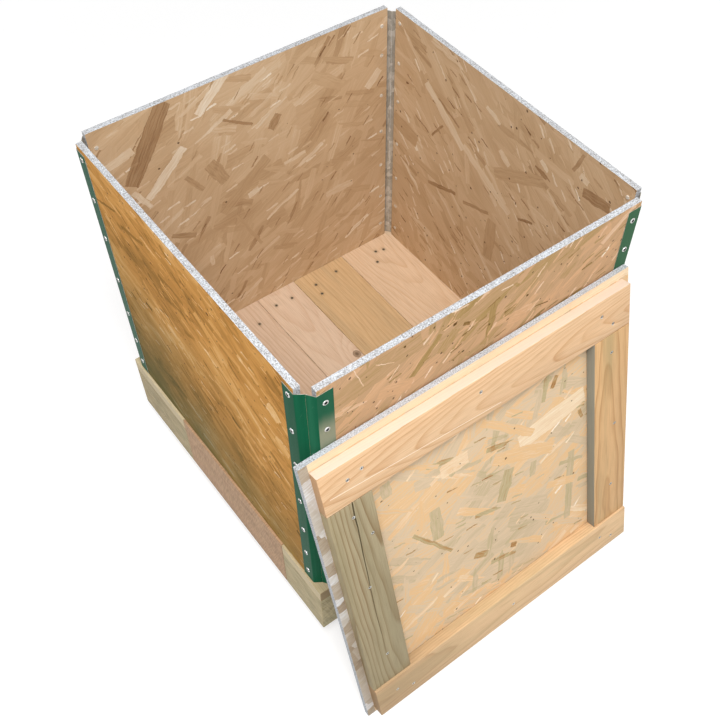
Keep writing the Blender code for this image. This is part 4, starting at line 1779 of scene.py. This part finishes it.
    def timber(self, batten: Batten) -> Pine:
        """Choose the cut of pine for a batten.

        Args:
            batten: The batten.

        Returns:
            Its pine.
        """
        middle = (Vector(batten.low) + Vector(batten.high)) / 2
        along, across = (UP, -RIGHT) if batten.upright else (RIGHT, UP)
        place = Placement(middle, along, across, -BACK).moved(self.matrix)
        name = f"batten_pine_{batten.side}"
        cuts = {
            # Olive-grey: partly the wood's own tone, partly painted green light from the floor on the
            # lid's left side
            "left": Pine(
                name, place, 41.0, "A89B7C", "8C7755", "93896A", ring=0.0068, heart=(-0.0265, 0.016),
                slope=-0.045, wander=0.006, stained=0.5, contrast=0.95,
            ),
            "right": Pine(
                name, place, 43.0, "D8B080", "B88B5A", "A8966C", ring=0.0055, heart=(0.01, 0.050),
                slope=0.02, wander=0.006, stained=0.6, contrast=0.8,
                # Painted shade on the side that faces left
                sides=(PaintedLightSide(-RIGHT, "83877F", 0.90),),
            ),
            "top": Pine(
                name, place, 45.0, "E6C29A", "C5905E", "DCB287", ring=0.0036, heart=(-0.002, 0.034),
                slope=-0.055, wander=0.006, contrast=0.60,
                # Painted highlight on the upper face
                sides=(PaintedLightSide(self.matrix.to_3x3() @ UP, "DFCDBD", 0.80),),
                pale_lines=(Flake(-0.126, -0.020, -4.0, 0.298, 0.0011, 0.75),),
            ),
            "foot": Pine(
                name, place, 47.0, "E4C298", "C49E74", "C6B088", ring=0.0048, heart=(0.02, 0.060),
                slope=0.02, wander=0.008, contrast=0.6, stained=0.6,
                # Painted shade: a wide dark halo that darkens the batten towards its left end
                marks=(Knot(-0.27, 0.0, 0.10),),
            ),
        }
        return cuts[batten.side]

    def drive_nails(self, places: Sequence[Triple]) -> None:
        """Put the lid's nails into their holes.

        Args:
            places: The heads' places, in the lid's own frame.
        """
        metal = BrightMetal("lid_nail_metal", "D0D0CC", "8A877E", 0.25)
        # The nail heads' dimples are lined darker: painted shade in the recess
        hollow = BrightMetal("lid_nail_hollow", "4A4740", "2A2823", 0.6)
        outward = Matrix.Rotation(math.pi / 2, 4, "X")
        row = NailRow("lid_nails", "lid", "batten_pine", metal, hollow)
        row.drive([self.matrix @ Matrix.Translation(place) @ outward for place in places])


@dataclass
class Studio:
    """A plain pale floor, soft lamps and the camera at the photograph's angle."""

    lens: float = 49.018
    sensor: float = 36.0
    shift: tuple[float, float] = (-0.05757, 0.06073)
    eye: Triple = (-0.648967, -0.902690, 1.641280)
    right: Triple = (0.78820905, -0.6149548, 0.02360298)
    down: Triple = (-0.4854927, -0.64492678, -0.59022563)
    forward: Triple = (0.37818427, 0.4537621, -0.80689318)
    ambient: float = 0.35
    floor_size: float = 24.0
    floor_drop: float = 0.0002
    near_glow: float = 0.52
    glow_from: float = 1.2
    glow_to: float = 4.5
    aim: Triple = (0.0, -0.1, 0.3)
    lamps: tuple[tuple[str, Triple, float, float], ...] = (
        ("main", (-0.9, -1.35, 3.4), 1.2, 101.0),
        ("right", (1.0, -2.4, 2.8), 1.6, 25.0),
        ("left", (-2.6, -0.6, 2.2), 1.6, 20.0),
    )

    def build(self) -> None:
        """Set up the floor, the light and the camera."""
        self.add_camera()
        self.add_floor()
        self.add_world()
        for lamp in self.lamps:
            self.add_lamp(*lamp)
        bpy.context.scene.view_settings.view_transform = "Standard"

    def add_camera(self) -> None:
        """Place the camera where the photograph was taken from."""
        data = bpy.data.cameras.new("camera")
        data.lens = self.lens
        data.sensor_width = self.sensor
        data.shift_x, data.shift_y = self.shift
        camera = bpy.data.objects.new("camera", data)
        bpy.context.scene.collection.objects.link(camera)
        axes = Matrix((self.right, -Vector(self.down), -Vector(self.forward))).transposed()
        camera.matrix_world = Matrix.Translation(self.eye) @ axes.to_4x4()
        bpy.context.scene.camera = camera

    def seen(self, tree: bpy.types.NodeTree) -> Socket:
        """Tell the rays that show the background from those that light the crate.

        Args:
            tree: The nodes that ask.

        Returns:
            1 for the camera's rays and for those that metal or glass sends on, and 0 for the rest.
        """
        rays = tree.nodes.new("ShaderNodeLightPath")
        total = rays.outputs["Is Camera Ray"]
        for kind in ("Is Glossy Ray", "Is Transmission Ray"):
            either = tree.nodes.new("ShaderNodeMath")
            either.operation = "MAXIMUM"
            tree.links.new(total, either.inputs[0])
            tree.links.new(rays.outputs[kind], either.inputs[1])
            total = either.outputs[0]
        return total

    def add_floor(self) -> None:
        """Lay the floor, which the camera sees near white and which keeps the shadow."""
        deselect_everything()
        bpy.ops.mesh.primitive_plane_add(size=self.floor_size, location=(0.0, 0.0, -self.floor_drop))
        floor = bpy.context.active_object
        floor.name = "floor"
        shader = Shader("floor_paper")
        shader.surface.inputs["Emission Color"].default_value = shade("FFFFFF")
        far = shader.curve(shader.vector("LENGTH", shader.local), self.glow_from, self.glow_to)
        glow = shader.scaled(far, 1.0 - self.near_glow, self.near_glow)
        glow = shader.times(self.seen(shader.tree), glow)
        shader.feed(shader.surface.inputs["Emission Strength"], glow)
        shader.colour = shade("C6C6C6")
        dress(floor, shader.coat(0.9))

    def add_world(self) -> None:
        """Light the scene evenly from all round, with a white background."""
        world = bpy.data.worlds.new("studio")
        bpy.context.scene.world = world
        world.use_nodes = True
        tree = world.node_tree
        tree.nodes.clear()
        strength = tree.nodes.new("ShaderNodeMath")
        strength.operation = "MULTIPLY_ADD"
        strength.inputs[1].default_value = 1.0 - self.ambient
        strength.inputs[2].default_value = self.ambient
        tree.links.new(self.seen(tree), strength.inputs[0])
        background = tree.nodes.new("ShaderNodeBackground")
        background.inputs["Color"].default_value = shade("FFFFFF")
        tree.links.new(strength.outputs[0], background.inputs["Strength"])
        out = tree.nodes.new("ShaderNodeOutputWorld")
        tree.links.new(background.outputs[0], out.inputs["Surface"])

    def add_lamp(self, name: str, place: Triple, size: float, power: float) -> None:
        """Add a large soft lamp that points at the crate.

        Args:
            name: The lamp's name.
            place: Where it hangs.
            size: The length of its side.
            power: Its power in watts.
        """
        data = bpy.data.lights.new(name, "AREA")
        data.size = size
        data.energy = power
        lamp = bpy.data.objects.new(name, data)
        bpy.context.scene.collection.objects.link(lamp)
        lamp.location = place
        towards = Vector(self.aim) - Vector(place)
        lamp.rotation_euler = towards.to_track_quat("-Z", "Y").to_euler()


def main() -> None:
    """Build the scene in order and report each piece."""
    logging.basicConfig(level=logging.INFO, format="%(message)s")
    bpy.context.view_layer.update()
    Studio().build()
    Base().build()
    Sleeve().build()
    Lid().build()


if __name__ == "__main__":
    main()
